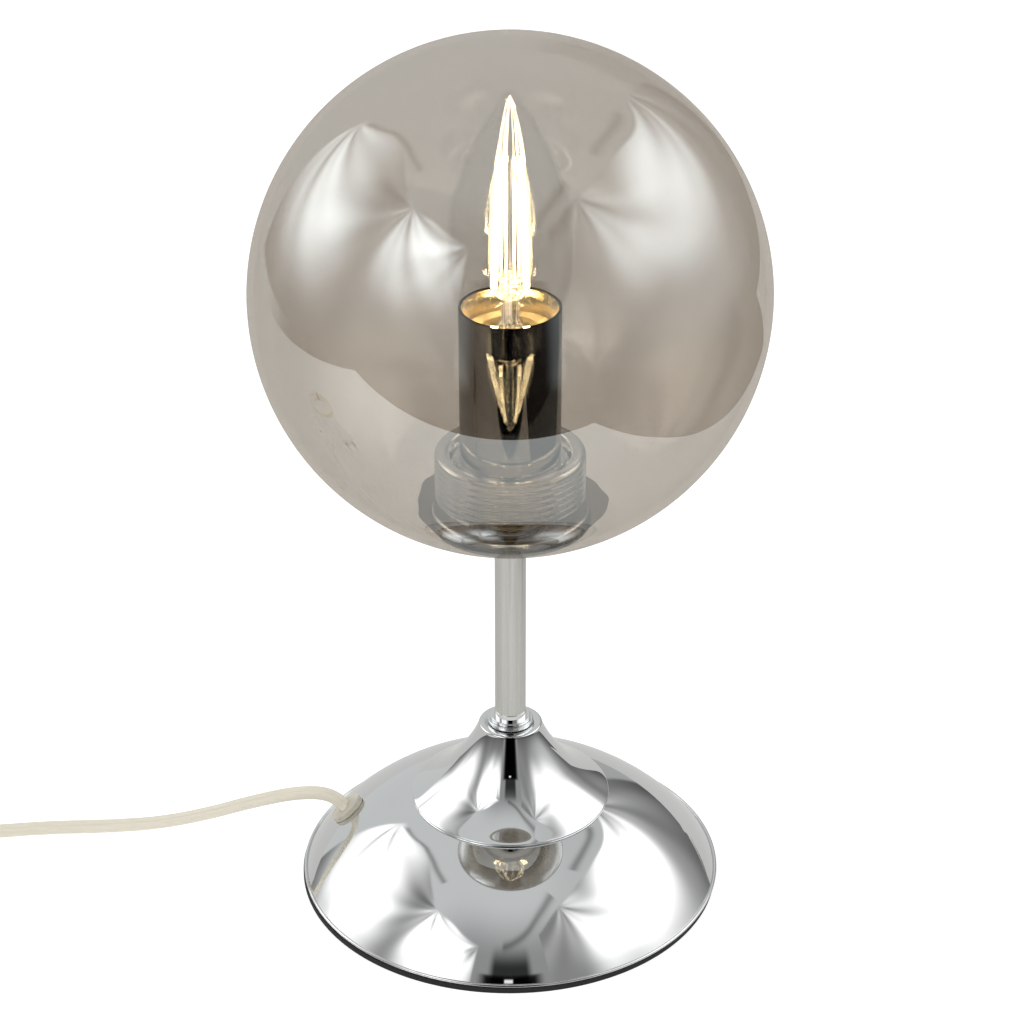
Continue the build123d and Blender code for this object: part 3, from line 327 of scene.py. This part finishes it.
grommet = Vector((-0.0515, 0.0088, 0))
dome_rim_r = 0.065
dome_rise = 0.0322
pad_thick = 0.0022
dome_r = (dome_rim_r**2 + dome_rise**2) / (2 * dome_rise)
dome_centre = Vector((0, 0, pad_thick + dome_rise - dome_r))
grommet.z = math.sqrt(dome_r**2 - grommet.length_squared) + dome_centre.z
exit_way = (grommet - dome_centre).normalized()
grommet_rise = 0.00185
exit_straight = 0.0054
exit_point = grommet + exit_way * grommet_rise

switch_x = -0.236
switch_step = 0.0135
switch_y = 0.009
switch_cord_z = 0.0056
coil_centre = Vector((-0.325, -0.025, 0))
coil_r = 0.0315
plug_back = Vector((-0.250, -0.056, 0.00685))
relief_length = 0.026

front_points = [
    exit_point,
    exit_point + exit_way * exit_straight,
    (-0.0670, 0.0094, 0.0219),
    (-0.0810, 0.0096, 0.0184),
    (-0.0975, 0.0116, 0.0118),
    (-0.1135, 0.0152, 0.0059),
    (-0.1300, 0.0188, 0.0022),
    (-0.1480, 0.0194, lay),
    (-0.1680, 0.0166, 0.0016),
    (-0.1845, 0.0114, 0.0036),
    (-0.1975, switch_y, switch_cord_z),
    (-0.2090, switch_y, switch_cord_z),
]
switch_points = [(switch_x + step, switch_y, switch_cord_z) for step in (switch_step, 0, -switch_step)]
middle_points = [
    (-0.2630, switch_y, switch_cord_z),
    (-0.2740, switch_y, switch_cord_z),
    (-0.2860, 0.0093, 0.0029),
    (-0.2990, 0.0095, floor_lay),
]
tail_points = [
    (-0.3000, -0.0594, 0.00895),
    (-0.2860, -0.0560, 0.00685),
    plug_back - Vector((relief_length, 0, 0)),
]

# each turn of the coil has its place across the bundle, in widths, and its layer
turn_places = [(1, 0), (0, 0), (-1, 0), (-1, 1), (0, 1), (-0.5, 2), (0.5, 2), (1, 3)]
points_per_turn = 16
layer_height = 0.0028
turn_width = 0.98 * cord_width
move_start = 0.6
turn_start = math.radians(71)
turn_count = 7.6


def coil_points():
    """The coil's turns; each moves over to the next one's place in its last part."""
    points = []
    steps = round(turn_count * points_per_turn)
    for step in range(steps + 1):
        turned = turn_count * step / steps
        angle = turn_start + 2 * math.pi * turned
        index = min(int(turned), len(turn_places) - 1)
        following = min(index + 1, len(turn_places) - 1)
        share = smooth_step(turned - index, move_start, 1)
        across = turn_places[index][0] * (1 - share) + turn_places[following][0] * share
        layer = turn_places[index][1] * (1 - share) + turn_places[following][1] * share
        r = coil_r + across * turn_width
        points.append(coil_centre + Vector((r * math.cos(angle), r * math.sin(angle),
                                            floor_lay + layer * layer_height)))
    return points


route_points = [Vector(p) for p in front_points + switch_points + middle_points]
route_points += coil_points() + [Vector(p) for p in tail_points]


def spline_line(points, fineness):
    """The line that a smooth spline through these control points draws."""
    data = bpy.data.curves.new("route", "CURVE")
    data.dimensions = "3D"
    data.resolution_u = fineness
    spline = data.splines.new("NURBS")
    spline.points.add(len(points) - 1)
    for spot, point in zip(spline.points, points):
        spot.co = (*point, 1)
    spline.order_u = 3
    spline.use_endpoint_u = True
    holder = bpy.data.objects.new("route", data)
    mesh = bpy.data.meshes.new_from_object(holder)
    line = [vertex.co.copy() for vertex in mesh.vertices]
    bpy.data.objects.remove(holder)
    bpy.data.curves.remove(data)
    bpy.data.meshes.remove(mesh)
    return line


def add_mesh(name, points, faces, material, smooth=True):
    """A mesh piece from points and faces."""
    mesh = bpy.data.meshes.new(name)
    mesh.from_pydata([tuple(p) for p in points], [], faces)
    mesh.update()
    if smooth:
        mesh.shade_smooth()
    for finish in material if isinstance(material, list) else [material]:
        mesh.materials.append(finish.material)
    piece = bpy.data.objects.new(name, mesh)
    scene.collection.objects.link(piece)
    return piece


def row_faces(rows, count):
    """Faces between rows of points, each row closed in a ring of this many points."""
    faces = []
    for row in range(rows):
        for k in range(count):
            here = row * count + k
            side = row * count + (k + 1) % count
            faces.append((here, side, side + count, here + count))
    return faces


def swept(name, line, profile, material):
    """A closed profile of (across, up) points carried along a line that never stands upright."""
    points = []
    for index, spot in enumerate(line):
        before = line[max(index - 1, 0)]
        after = line[min(index + 1, len(line) - 1)]
        way = (after - before).normalized()
        across = Vector((-way.y, way.x, 0)).normalized()
        up = way.cross(across)
        points += [spot + across * a + up * b for a, b in profile]
    count = len(profile)
    faces = row_faces(len(line) - 1, count)
    faces.append(tuple(range(count)))
    faces.append(tuple(reversed(range((len(line) - 1) * count, len(line) * count))))
    return add_mesh(name, points, faces, material)


def arc(centre, radius, start, end, steps):
    """Points of a flat arc round a centre, from one angle to another in degrees."""
    points = []
    for k in range(steps + 1):
        angle = math.radians(start + (end - start) * k / steps)
        points.append((centre[0] + radius * math.cos(angle), centre[1] + radius * math.sin(angle)))
    return points


def twin_profile(width, thick, web, sweep=243, steps=14):
    """Outline of two round cores with a thin web between them; each keeps this sweep of its circle."""
    core_r = thick / 2
    offset = width / 2 - core_r
    right_core = arc((offset, 0), core_r, -sweep / 2, sweep / 2, steps)
    left_core = arc((-offset, 0), core_r, 180 - sweep / 2, 180 + sweep / 2, steps)
    return right_core + [(0, web / 2)] + left_core + [(0, -web / 2)]


# points that are closer than this are one point
touching = 1e-6


def lathe(name, outlines, materials, turns=256, axis=(0, 0)):
    """A piece turned round an upright axis from outlines of (r, z) points, one for each material in turn."""
    rings = []
    looks = []
    for index, outline in enumerate(outlines):
        for r, z in outline:
            if rings and math.hypot(r - rings[-1][0], z - rings[-1][1]) < touching:
                continue
            rings.append((r, z))
            looks.append(index)
    points = []
    starts = []
    for r, z in rings:
        starts.append(len(points))
        if r < touching:
            points.append((axis[0], axis[1], z))
            continue
        for k in range(turns):
            angle = 2 * math.pi * k / turns
            points.append((axis[0] + r * math.cos(angle), axis[1] + r * math.sin(angle), z))
    faces = []
    owners = []
    pairs = list(zip(range(len(rings)), range(1, len(rings))))
    if rings[0][0] > touching:
        pairs.append((len(rings) - 1, 0))
    for a, b in pairs:
        for k in range(turns):
            n = (k + 1) % turns
            if rings[a][0] < touching:
                face = (starts[a], starts[b] + n, starts[b] + k)
            elif rings[b][0] < touching:
                face = (starts[a] + k, starts[a] + n, starts[b])
            else:
                face = (starts[a] + k, starts[a] + n, starts[b] + n, starts[b] + k)
            faces.append(face)
            owners.append(looks[b])
    piece = add_mesh(name, points, faces, materials)
    piece.data.polygons.foreach_set("material_index", owners)
    return piece


web_thick = 0.0017
line_fineness = 6
cord_line = spline_line(route_points, line_fineness)
cord = swept("cord", cord_line, twin_profile(cord_width, cord_thick, web_thick), jacket)
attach(cord, "root")
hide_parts("cord_front", "cord_middle", "cord_coil", "cord_tail")

# ================================================================ glass globe
globe_low, globe_high = box_corners("globe")
globe_r = (globe_high.x - globe_low.x) / 2
globe_z = globe_high.z - globe_r
globe_wall = 0.002
neck_bore_r = 0.0178
neck_out_r = 0.02235
neck_height = 0.0230
lip_round = 0.0018
mouth_round = 0.0012
mouth_flat = 0.001
root_round = 0.0012
root_end_angle = 262
sphere_steps = 160
round_steps = 8
root_steps = 6
ring_rise = 0.0034
ring_pitch = 0.0024
ring_count = 6
ring_depth = 0.0006
ripple_rise = 0.0085
ripple_pitch = 0.0021
ripple_depth = 0.00035
mouth_r = neck_bore_r + mouth_round + mouth_flat
mouth_angle = -math.degrees(math.acos(mouth_r / globe_r))
inner_r = globe_r - globe_wall
root_angle = -math.degrees(math.acos((neck_out_r + root_round) / inner_r))
mouth_z = globe_z + globe_r * math.sin(math.radians(mouth_angle))
neck_top = mouth_z + neck_height


def waves(r, start, pitch, count, depth, steps=8):
    """Points up a wall of radius r with soft grooves of this depth; a negative depth makes ridges."""
    points = []
    for k in range(count * steps + 1):
        rise = k / steps
        points.append((r + depth * (1 - math.cos(2 * math.pi * rise)) / 2, start + rise * pitch))
    return points


outside = arc((0, globe_z), globe_r, 90, mouth_angle, sphere_steps)
mouth = arc((neck_bore_r + mouth_round, mouth_z + mouth_round), mouth_round, 270, 180, round_steps)
bore = waves(neck_bore_r, mouth_z + ring_rise, ring_pitch, ring_count, ring_depth)
lip = arc((neck_bore_r + lip_round, neck_top - lip_round), lip_round, 180, 90, round_steps)
lip += arc((neck_out_r - lip_round, neck_top - lip_round), lip_round, 90, 0, round_steps)
wall = list(reversed(waves(neck_out_r, mouth_z + ripple_rise, ripple_pitch, ring_count, -ripple_depth)))
root_z = globe_z + inner_r * math.sin(math.radians(root_angle))
root = arc((neck_out_r + root_round, root_z + root_round), root_round, 180, root_end_angle, root_steps)
inside = arc((0, globe_z), inner_r, root_angle, 90, sphere_steps)
globe = lathe("glass_globe", [outside, mouth + bore + lip + wall + root, inside],
              [smoked, neck_glass, tinted])
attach(globe, "glass")
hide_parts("globe")

# ================================================================ flare cone, foot's rim and pad


def bowed(start, start_slope, end, end_slope, pulls=(0.33, 0.33), steps=40):
    """A smooth line between two points (r, z), climbing inwards at these slopes in degrees."""
    reach = math.dist(start, end)
    first = (start[0] - pulls[0] * reach * math.cos(math.radians(start_slope)),
             start[1] + pulls[0] * reach * math.sin(math.radians(start_slope)))
    last = (end[0] + pulls[1] * reach * math.cos(math.radians(end_slope)),
            end[1] - pulls[1] * reach * math.sin(math.radians(end_slope)))
    points = []
    for k in range(steps + 1):
        t = k / steps
        weights = ((1 - t) ** 3, 3 * t * (1 - t) ** 2, 3 * t * t * (1 - t), t ** 3)
        points.append(tuple(sum(w * p[axis] for w, p in zip(weights, (start, first, last, end)))
                            for axis in range(2)))
    return points


flare_low, flare_high = box_corners("flare_cone")
flare_rim_r = (flare_high.x - flare_low.x) / 2
flare_lip = 0.0007
flare_wall = 0.001
flare_wall_in = 0.8 * flare_wall
flare_wall_down = 0.6 * flare_wall
flare_edge = 0.0006
flare_hole_r = 0.0041
flare_waist_r = 0.0188
flare_waist_rise = 0.0106
flare_top_r = 0.0098
edge_steps = 6
flare_rim_slope = 38
flare_waist_slope = 50
flare_top_slope = 72
flare_low_pulls = (0.15, 0.45)
flare_rim = (flare_rim_r, flare_low.z + flare_lip)
flare_waist = (flare_waist_r, flare_low.z + flare_waist_rise)
flare_top = (flare_top_r, flare_high.z - flare_edge)
skin = bowed(flare_rim, flare_rim_slope, flare_waist, flare_waist_slope, flare_low_pulls)
skin += bowed(flare_waist, flare_waist_slope, flare_top, flare_top_slope)
edge = arc((flare_top[0] - flare_edge, flare_top[1]), flare_edge, 0, 90, edge_steps)
under = [(r - flare_wall_in, z - flare_wall_down) for r, z in reversed(skin)]
under = [(flare_hole_r, flare_high.z), (flare_hole_r, flare_high.z - flare_wall)] + under
under += [(flare_rim_r - flare_wall, flare_low.z), (flare_rim_r, flare_low.z)]
flare = lathe("flare", [skin, edge, under], [chrome, chrome, chrome])
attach(flare, "root")
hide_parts("flare_cone")

rim_round = 0.0005
rim_inset = 0.0002
rim_steps = 20
rim_centre = (dome_rim_r - rim_inset, pad_thick + rim_round)
dome_rim = lathe("dome_rim", [arc(rim_centre, rim_round, 0, 360, rim_steps)], [chrome])
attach(dome_rim, "root")

pad_r = 0.0652
pad_shift = -0.0004
pad_edge = 0.0005
pad_outline = [(0, 0)] + arc((pad_r - pad_edge, pad_edge), pad_edge, 270, 360, edge_steps)
pad_outline += arc((pad_r - pad_edge, pad_thick - pad_edge), pad_edge, 0, 90, edge_steps) + [(0, pad_thick)]
pad = lathe("pad", [pad_outline], [black_foam], axis=(pad_shift, 0))
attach(pad, "root")
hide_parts("base_pad")

# ================================================================ glow of the bulb
filament_low, filament_high = box_corners("filaments")
bulb_high = box_corners("bulb_glass")[1]


def ring_point(r, turned, z):
    """A point at this radius round the upright axis, after this share of a turn."""
    return Vector((r * math.cos(2 * math.pi * turned), r * math.sin(2 * math.pi * turned), z))


def glow_tube(name, line, radii, turns, material):
    """An open tube of level rings along a rising line, which casts no shadow and rides on the bulb."""
    points = []
    for spot, radius in zip(line, radii):
        points += [spot + ring_point(radius, k / turns, 0) for k in range(turns)]
    tube = add_mesh(name, points, row_faces(len(line) - 1, turns), material)
    tube.visible_shadow = False
    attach(tube, "bulb")


def uneven(parts, angle):
    """A sum of waves, each given by its depth, rate and phase."""
    return sum(depth * math.sin(rate * angle + phase) for depth, rate, phase in parts)


# a painted glow round each of the four filaments, which lean in towards the top: glowing tubes that are no
# lamp
halo_count = 4
halo_r = 0.0023
halo_steps = 12
halo_turns = 24
halo_start = 0.05
halo_length = 0.88
halo_thin_end = 0.02
halo_bluntness = 6
low_ring_r = 0.0066
high_ring_r = 0.0044
for index in range(halo_count):
    turned = (index + 0.5) / halo_count
    low = ring_point(low_ring_r, turned, filament_low.z)
    high = ring_point(high_ring_r, turned, filament_high.z)
    line = []
    radii = []
    for k in range(halo_steps + 1):
        share = k / halo_steps
        line.append(low.lerp(high, halo_start + halo_length * share))
        radii.append(halo_r * math.sqrt(max(1 - (2 * share - 1) ** halo_bluntness, halo_thin_end)))
    glow_tube(f"halo_{index}", line, radii, halo_turns, halo)

# the knobbly glass foot that holds the filaments, with painted sparkle: glints of emission in its glass
# stand in for their light
foot_r = 0.0029
foot_spread = 0.0008
foot_drop = 0.0045
foot_height = 0.0065
foot_steps = 48
foot_wall = 0.0001
foot_knobs = [(0.0005, 9, 0), (0.0003, 23, 1)]
foot_outline = []
for k in range(foot_steps + 1):
    share = k / foot_steps
    height = filament_low.z - foot_drop + foot_height * share
    foot_outline.append((foot_r + uneven(foot_knobs, share) + foot_spread * (1 - share), height))
foot_inner = [(foot_r - foot_wall, z) for r, z in reversed(foot_outline)]
glass_foot = lathe("glass_foot", [foot_outline + foot_inner], [sparkle], 64)
glass_foot.visible_shadow = False
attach(glass_foot, "bulb")

# painted streaks of light in the drawn tip of the bulb: glowing tubes that are no lamp
streak_count = 8
streak_r = 0.00032
streak_steps = 16
streak_turns = 8
streak_ring_r = 0.0042
streak_start = 0.35
streak_top = bulb_high.z - 0.0016
for index in range(streak_count):
    turned = (index + streak_start) / streak_count
    line = []
    radii = []
    for k in range(streak_steps + 1):
        share = k / streak_steps
        r = streak_ring_r * (1 - share) ** 0.75 * (1 + 0.12 * share)
        line.append(ring_point(r, turned, filament_high.z + (streak_top - filament_high.z) * share))
        radii.append(streak_r * (1.15 - 0.6 * share) * (0.8 + 0.3 * math.sin(5 * share + 2.4 * index)))
    glow_tube(f"streak_{index}", line, radii, streak_turns, gleam)

# ================================================================ painted shade round the neck and painted glow in the socket
# painted shade round the neck: a dark ring with an uneven outline on the inside of the globe, which also
# mirrors, stands in for the neck and socket mirrored there
shade_ring_inner_r = neck_out_r + 0.0008
shade_ring_outer_r = 0.0282
shade_ring_gap = 0.00015
shade_ring_edge = [(0.0007, 3, 1), (0.0004, 7, 2), (0.0002, 17, 0)]
shade_ring_rows = 8
shade_ring_turns = 180
shade_ring_points = []
for row in range(shade_ring_rows + 1):
    for k in range(shade_ring_turns):
        angle = 2 * math.pi * k / shade_ring_turns
        outer_r = shade_ring_outer_r + uneven(shade_ring_edge, angle)
        r = shade_ring_inner_r + (outer_r - shade_ring_inner_r) * row / shade_ring_rows
        z = globe_z - math.sqrt((inner_r - shade_ring_gap) ** 2 - r ** 2)
        shade_ring_points.append((r * math.cos(angle), r * math.sin(angle), z))
painted_neck_shade_ring = add_mesh("painted_neck_shade_ring", shade_ring_points, row_faces(shade_ring_rows, shade_ring_turns), painted_neck_shade)
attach(painted_neck_shade_ring, "glass")

# painted glow: a thin gold sheet inside the socket shell shines as if lit by the bulb's light
shell_low, shell_high = box_corners("socket_shell")
body_high = box_corners("lampholder_body")[1]
glow_sheet_wall = 0.0001
glow_sheet_gap = 0.0008
glow_sheet_depth = 0.004
glow_sheet_drop = 0.0004
glow_sheet_r = (shell_high.x - shell_low.x) / 2 - glow_sheet_gap
glow_sheet_inner_r = glow_sheet_r - glow_sheet_wall
glow_sheet_low = body_high.z - glow_sheet_depth
glow_sheet_top = shell_high.z - glow_sheet_drop
glow_sheet_outline = [(glow_sheet_r, glow_sheet_low), (glow_sheet_r, glow_sheet_top), (glow_sheet_inner_r, glow_sheet_top),
                  (glow_sheet_inner_r, glow_sheet_low)]
socket_glow_sheet = lathe("socket_painted_glow", [glow_sheet_outline], [lit_gold], 128)
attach(socket_glow_sheet, "root")

# ================================================================ floor and studio
floor_front = -0.308
floor_side = 0.64
floor_back = 1.6
room_grey = 0.72

# the table top's own light where it is seen, its share of the lamps' light, and its light where it is
# mirrored, at a near and a far depth
seen_light = 0.70
lamp_share = 0.56
near_depth = -0.22
near_light = 1.0
far_depth = 0.05
far_light = 0.68

floor_finish = Finish("floor", (0.82, 0.82, 0.82), 0.6)
path = floor_finish.node("LightPath")
depth = floor_finish.node("SeparateXYZ", {"Vector": floor_finish.place}).outputs["Y"]
# painted light: the table top, where mirrored, is brighter at the front and dimmer towards the back
mirrored_strength = floor_finish.spread(depth, near_light, far_light, near_depth, far_depth)
seen = floor_finish.shining((1, 1, 1, 1), seen_light)
mirrored = floor_finish.shining((0.99, 0.985, 0.955, 1), mirrored_strength)
through = floor_finish.shining((1, 1, 1, 1), 1.0)
lit = floor_finish.node("BsdfDiffuse", {"Color": (lamp_share, lamp_share, lamp_share, 1)}).outputs[0]
both = floor_finish.node("AddShader", {0: seen, 1: lit}).outputs[0]
direct = floor_finish.mix(path.outputs["Is Transmission Ray"], both, through)
floor_finish.surface(floor_finish.mix(path.outputs["Is Glossy Ray"], direct, mirrored))
# the table top is cut in at the right, where a cloth hangs
floor_outline = [(-floor_side, floor_front), (0.205, floor_front), (0.235, -0.10), (0.250, 0.15),
                 (0.270, 0.30), (floor_side, 0.45), (floor_side, floor_back), (-floor_side, floor_back)]
floor = add_mesh("floor", [(x, y, 0) for x, y in floor_outline], [tuple(range(len(floor_outline)))],
                 floor_finish, smooth=False)

# the room round the lamp: a grey ceiling, a dark place at the camera, and two hung cloths that shine
room_front_r = 0.95
room_back_r = 1.7
room_centre = Vector((0, 0, 0.12))


corner_steps = (-6, -3, 0, 3, 6)


def between(azimuth, outline):
    """Height of an outline of (azimuth, elevation) corners at each azimuth, rounded at its corners."""
    xs = [corner[0] for corner in outline]
    ys = [corner[1] for corner in outline]
    return sum(np.interp(azimuth + step, xs, ys) for step in corner_steps) / len(corner_steps)


def folds(azimuth, elevation, corner, count, reach, phase):
    """Folds that fan down from a corner of a cloth, strongest near it."""
    across = (azimuth - corner[0]) * math.cos(math.radians(corner[1] * 0.7))
    down = corner[1] - elevation
    angle = np.arctan2(across, down)
    distance = np.hypot(across, down)
    wave = np.sin(angle * count + phase) + 0.5 * np.sin(angle * count * 2.3 + 2 * phase)
    return wave * np.exp(-distance / reach) * smooth_step(distance, 0.5, 6)


def pool(azimuth, elevation, centre, size, strength):
    """A pool of light that is flat in its middle and soft at its edge."""
    away = ((azimuth - centre[0]) / size[0]) ** 2 + ((elevation - centre[1]) / size[1]) ** 2
    flatness = 1.6
    return strength * np.exp(-away ** flatness)


def cover(azimuth, elevation, cloth):
    """1 on a hung cloth and 0 off it."""
    upper = between(azimuth, cloth["top"])
    lower = between(azimuth, cloth["bottom"])
    first, last = cloth["sides"]
    under_top = smooth_step(elevation, upper + hem, upper - hem)
    over_bottom = smooth_step(elevation, lower - hem, lower + hem)
    after_first = smooth_step(azimuth, first - hem, first + hem)
    before_last = smooth_step(azimuth, last + hem, last - hem)
    return under_top * over_bottom * after_first * before_last


def cloth_light(azimuth, elevation, cloth):
    """Brightness of a hung cloth: its pools of light, its folds and its dim lower part."""
    light = cloth_low_light + cloth_rise * smooth_step(elevation, -25, 25) + np.zeros_like(azimuth)
    for centre, size, strength in cloth["pools"]:
        light += pool(azimuth, elevation, centre, size, strength)
    shade = np.zeros_like(light)
    for corner, count, reach, phase in cloth["folds"]:
        shade += folds(azimuth, elevation, corner, count, reach, phase)
    return light * np.clip(1 + fold_depth * shade, 0.2, 1.6)


# half the width of a cloth's soft edge, in degrees
hem = 0.8
cloth_low_light = 0.06
cloth_rise = 0.28
fold_depth = 0.45
# azimuth 0 is towards the viewer and 90 to the right; outlines are (azimuth, elevation) corners, pools are
# a centre, a size and a strength, and folds are a corner, a count, a reach and a phase
left_cloth = {
    "top": [(-136, 31), (-128, 44), (-115, 53), (-100, 55), (-82, 54), (-63, 50), (-47, 51), (-35, 48),
            (-22, 46)],
    "bottom": [(-136, -7), (-113, -10), (-76, -13), (-62, -23), (-22, -22)],
    "sides": (-136, -22),
    "pools": [((-110, 25), (27, 22), 2.2), ((-46, 38), (20, 19), 2.3)],
    "folds": [((-136, 31), 6, 30, 0.4), ((-63, 51), 7, 34, 1.1), ((-22, 46), 5, 20, 2.0)],
}
right_cloth = {
    "top": [(18, 50), (35, 57), (50, 60), (67, 60), (87, 59), (110, 53), (130, 42), (148, 36), (175, -20)],
    "bottom": [(18, -34), (40, -33), (67, -38), (93, -42), (120, -41), (147, -35), (175, -25)],
    "sides": (22, 158),
    "pools": [((101, 34), (34, 18), 2.5), ((60, 40), (17, 19), 0.9), ((98, 8), (34, 16), 0.35)],
    "folds": [((50, 60), 6, 34, 0.0), ((148, 36), 6, 30, 1.0)],
}
# each strip is a line of (azimuth, elevation) corners and a width
dark_strips = [
    ([(-132, 33), (-126, 47), (-112, 55), (-98, 58), (-84, 60)], 1.3),
    ([(-4, 47), (12, 53), (25, 60), (40, 64), (52, 66)], 2.2),
    ([(97, 63), (112, 59), (124, 53), (134, 46)], 2.0),
]


# the dark place where the camera stands, the dark stripe above it and the small bright window in it
camera_half_width = (13, 20)
camera_top = (33, 34.5)
stripe_half_width = (9, 14)
stripe_top = (37, 50)
window_centre = (-1, 32.2)
window_half_width = (2.0, 2.6)
window_half_height = (0.3, 0.55)
window_light = 1.2

# the share of the light that each dim place takes away
right_dimming = 0.08
front_dimming = 0.50
camera_dimming = 0.98
stripe_dimming = 0.90
below_dimming = 0.93
strip_dimming = 0.50
beside_dimming = 0.30


def room_light(azimuth, elevation):
    """Brightness of the room in a direction, in degrees, and the share of it that is cloth."""
    on_cloth = np.zeros_like(azimuth)
    right = smooth_step(azimuth, 10, 90) * smooth_step(azimuth, 180, 140)
    light = room_grey - right_dimming * right * smooth_step(elevation, 80, 60)
    front = np.abs(azimuth)
    dim = smooth_step(front, 70, 25) * smooth_step(elevation, 70, 40)
    light = light * (1 - front_dimming * dim)
    dark = smooth_step(front, *reversed(camera_half_width)) * smooth_step(elevation, *reversed(camera_top))
    light = light * (1 - camera_dimming * dark)
    stripe = smooth_step(front, *reversed(stripe_half_width)) * smooth_step(elevation, *reversed(stripe_top))
    light = light * (1 - stripe_dimming * stripe)
    below = smooth_step(elevation, -2, -14) * smooth_step(front, 130, 100)
    light = light * (1 - below_dimming * below)
    for cloth in (left_cloth, right_cloth):
        share = cover(azimuth, elevation, cloth)
        light = light * (1 - share) + cloth_light(azimuth, elevation, cloth) * share
        on_cloth = np.maximum(on_cloth, share)
    for line, width in dark_strips:
        first = line[0][0]
        last = line[-1][0]
        ends = smooth_step(azimuth, first - 3, first) * smooth_step(azimuth, last + 3, last)
        away = (elevation - between(azimuth, line)) / width
        light = light * (1 - strip_dimming * ends * np.exp(-away ** 2))
    beside = smooth_step(azimuth, 150, 156) * smooth_step(azimuth, 179, 170) * smooth_step(elevation, 34, 24)
    light = light * (1 - beside_dimming * beside)
    window_across = smooth_step(np.abs(azimuth - window_centre[0]), *reversed(window_half_width))
    window_up = smooth_step(np.abs(elevation - window_centre[1]), *reversed(window_half_height))
    return light + window_light * window_across * window_up, on_cloth


def build_room(across=900, up=400):
    """A shell round the lamp whose points carry the room's light as a color."""
    azimuths = np.linspace(-180, 180, across + 1)[:-1]
    elevations = np.linspace(-89.5, 89.5, up)
    az, el = np.meshgrid(azimuths, elevations)
    light, on_cloth = room_light(az, el)
    a = np.radians(az)
    e = np.radians(el)
    xyz = np.stack([np.sin(a) * np.cos(e), -np.cos(a) * np.cos(e), np.sin(e)], -1).reshape(-1, 3)
    reach = room_front_r + (room_back_r - room_front_r) * smooth_step(np.abs(az), 60, 130)
    xyz = xyz * reach.reshape(-1, 1) + np.array(room_centre)
    rows = np.arange(up - 1)[:, None] * across
    here = np.arange(across)[None, :]
    side = (here + 1) % across
    faces = np.stack([rows + here, rows + side, rows + across + side, rows + across + here], -1)
    mesh = bpy.data.meshes.new("room")
    mesh.from_pydata(xyz.tolist(), [], faces.reshape(-1, 4).tolist())
    color = mesh.color_attributes.new("light", "FLOAT_COLOR", "POINT")
    values = np.ones((xyz.shape[0], 4))
    wall_color = np.array([0.98, 1.0, 0.985])
    cloth_color = np.array([1.0, 1.0, 0.985])
    share = on_cloth.reshape(-1, 1)
    values[:, :3] = light.reshape(-1, 1) * (wall_color * (1 - share) + cloth_color * share)
    color.data.foreach_set("color", values.astype(np.float32).ravel())
    room = bpy.data.objects.new("room", mesh)
    scene.collection.objects.link(room)
    finish = Finish("room", (0, 0, 0), 1.0)
    tint = finish.node("VertexColor", layer_name="light")
    finish.surface(finish.shining(tint.outputs["Color"], 1.0))
    mesh.materials.append(finish.material)
    room.visible_camera = False
    room.visible_diffuse = False
    room.visible_transmission = False
    room.visible_shadow = False


build_room()


def soft_lamp(name, place, size, power):
    """A soft square lamp that looks at the middle of the lamp and doesn't show in mirrors."""
    data = bpy.data.lights.new(name, "AREA")
    data.size = size
    data.energy = power
    lamp = bpy.data.objects.new(name, data)
    lamp.location = place
    lamp.rotation_euler = (Vector((0, 0, 0.1)) - Vector(place)).to_track_quat("-Z", "Y").to_euler()
    lamp.visible_glossy = False
    lamp.visible_transmission = False
    scene.collection.objects.link(lamp)


soft_lamp("left_lamp", (-0.9, -0.5, 0.9), size=0.8, power=6.8)
soft_lamp("right_lamp", (0.9, -0.5, 0.9), size=0.8, power=6.8)
soft_lamp("back_lamp", (0.0, 0.9, 1.1), size=1.0, power=5.3)

world = bpy.data.worlds.new("world")
world.use_nodes = True
scene.world = world
tree = world.node_tree
for node in list(tree.nodes):
    tree.nodes.remove(node)
rays = tree.nodes.new("ShaderNodeLightPath")
white = tree.nodes.new("ShaderNodeBackground")
white.inputs["Color"].default_value = (1, 1, 1, 1)
white.inputs["Strength"].default_value = 1.0
plain = tree.nodes.new("ShaderNodeBackground")
plain.inputs["Color"].default_value = (0.5, 0.5, 0.5, 1)
choice = tree.nodes.new("ShaderNodeMixShader")
end = tree.nodes.new("ShaderNodeOutputWorld")
either = tree.nodes.new("ShaderNodeMath")
either.operation = "MAXIMUM"
tree.links.new(rays.outputs["Is Camera Ray"], either.inputs[0])
tree.links.new(rays.outputs["Is Transmission Ray"], either.inputs[1])
tree.links.new(either.outputs[0], choice.inputs[0])
tree.links.new(plain.outputs[0], choice.inputs[1])
tree.links.new(white.outputs[0], choice.inputs[2])
tree.links.new(choice.outputs[0], end.inputs[0])

scene.view_settings.view_transform = "Standard"
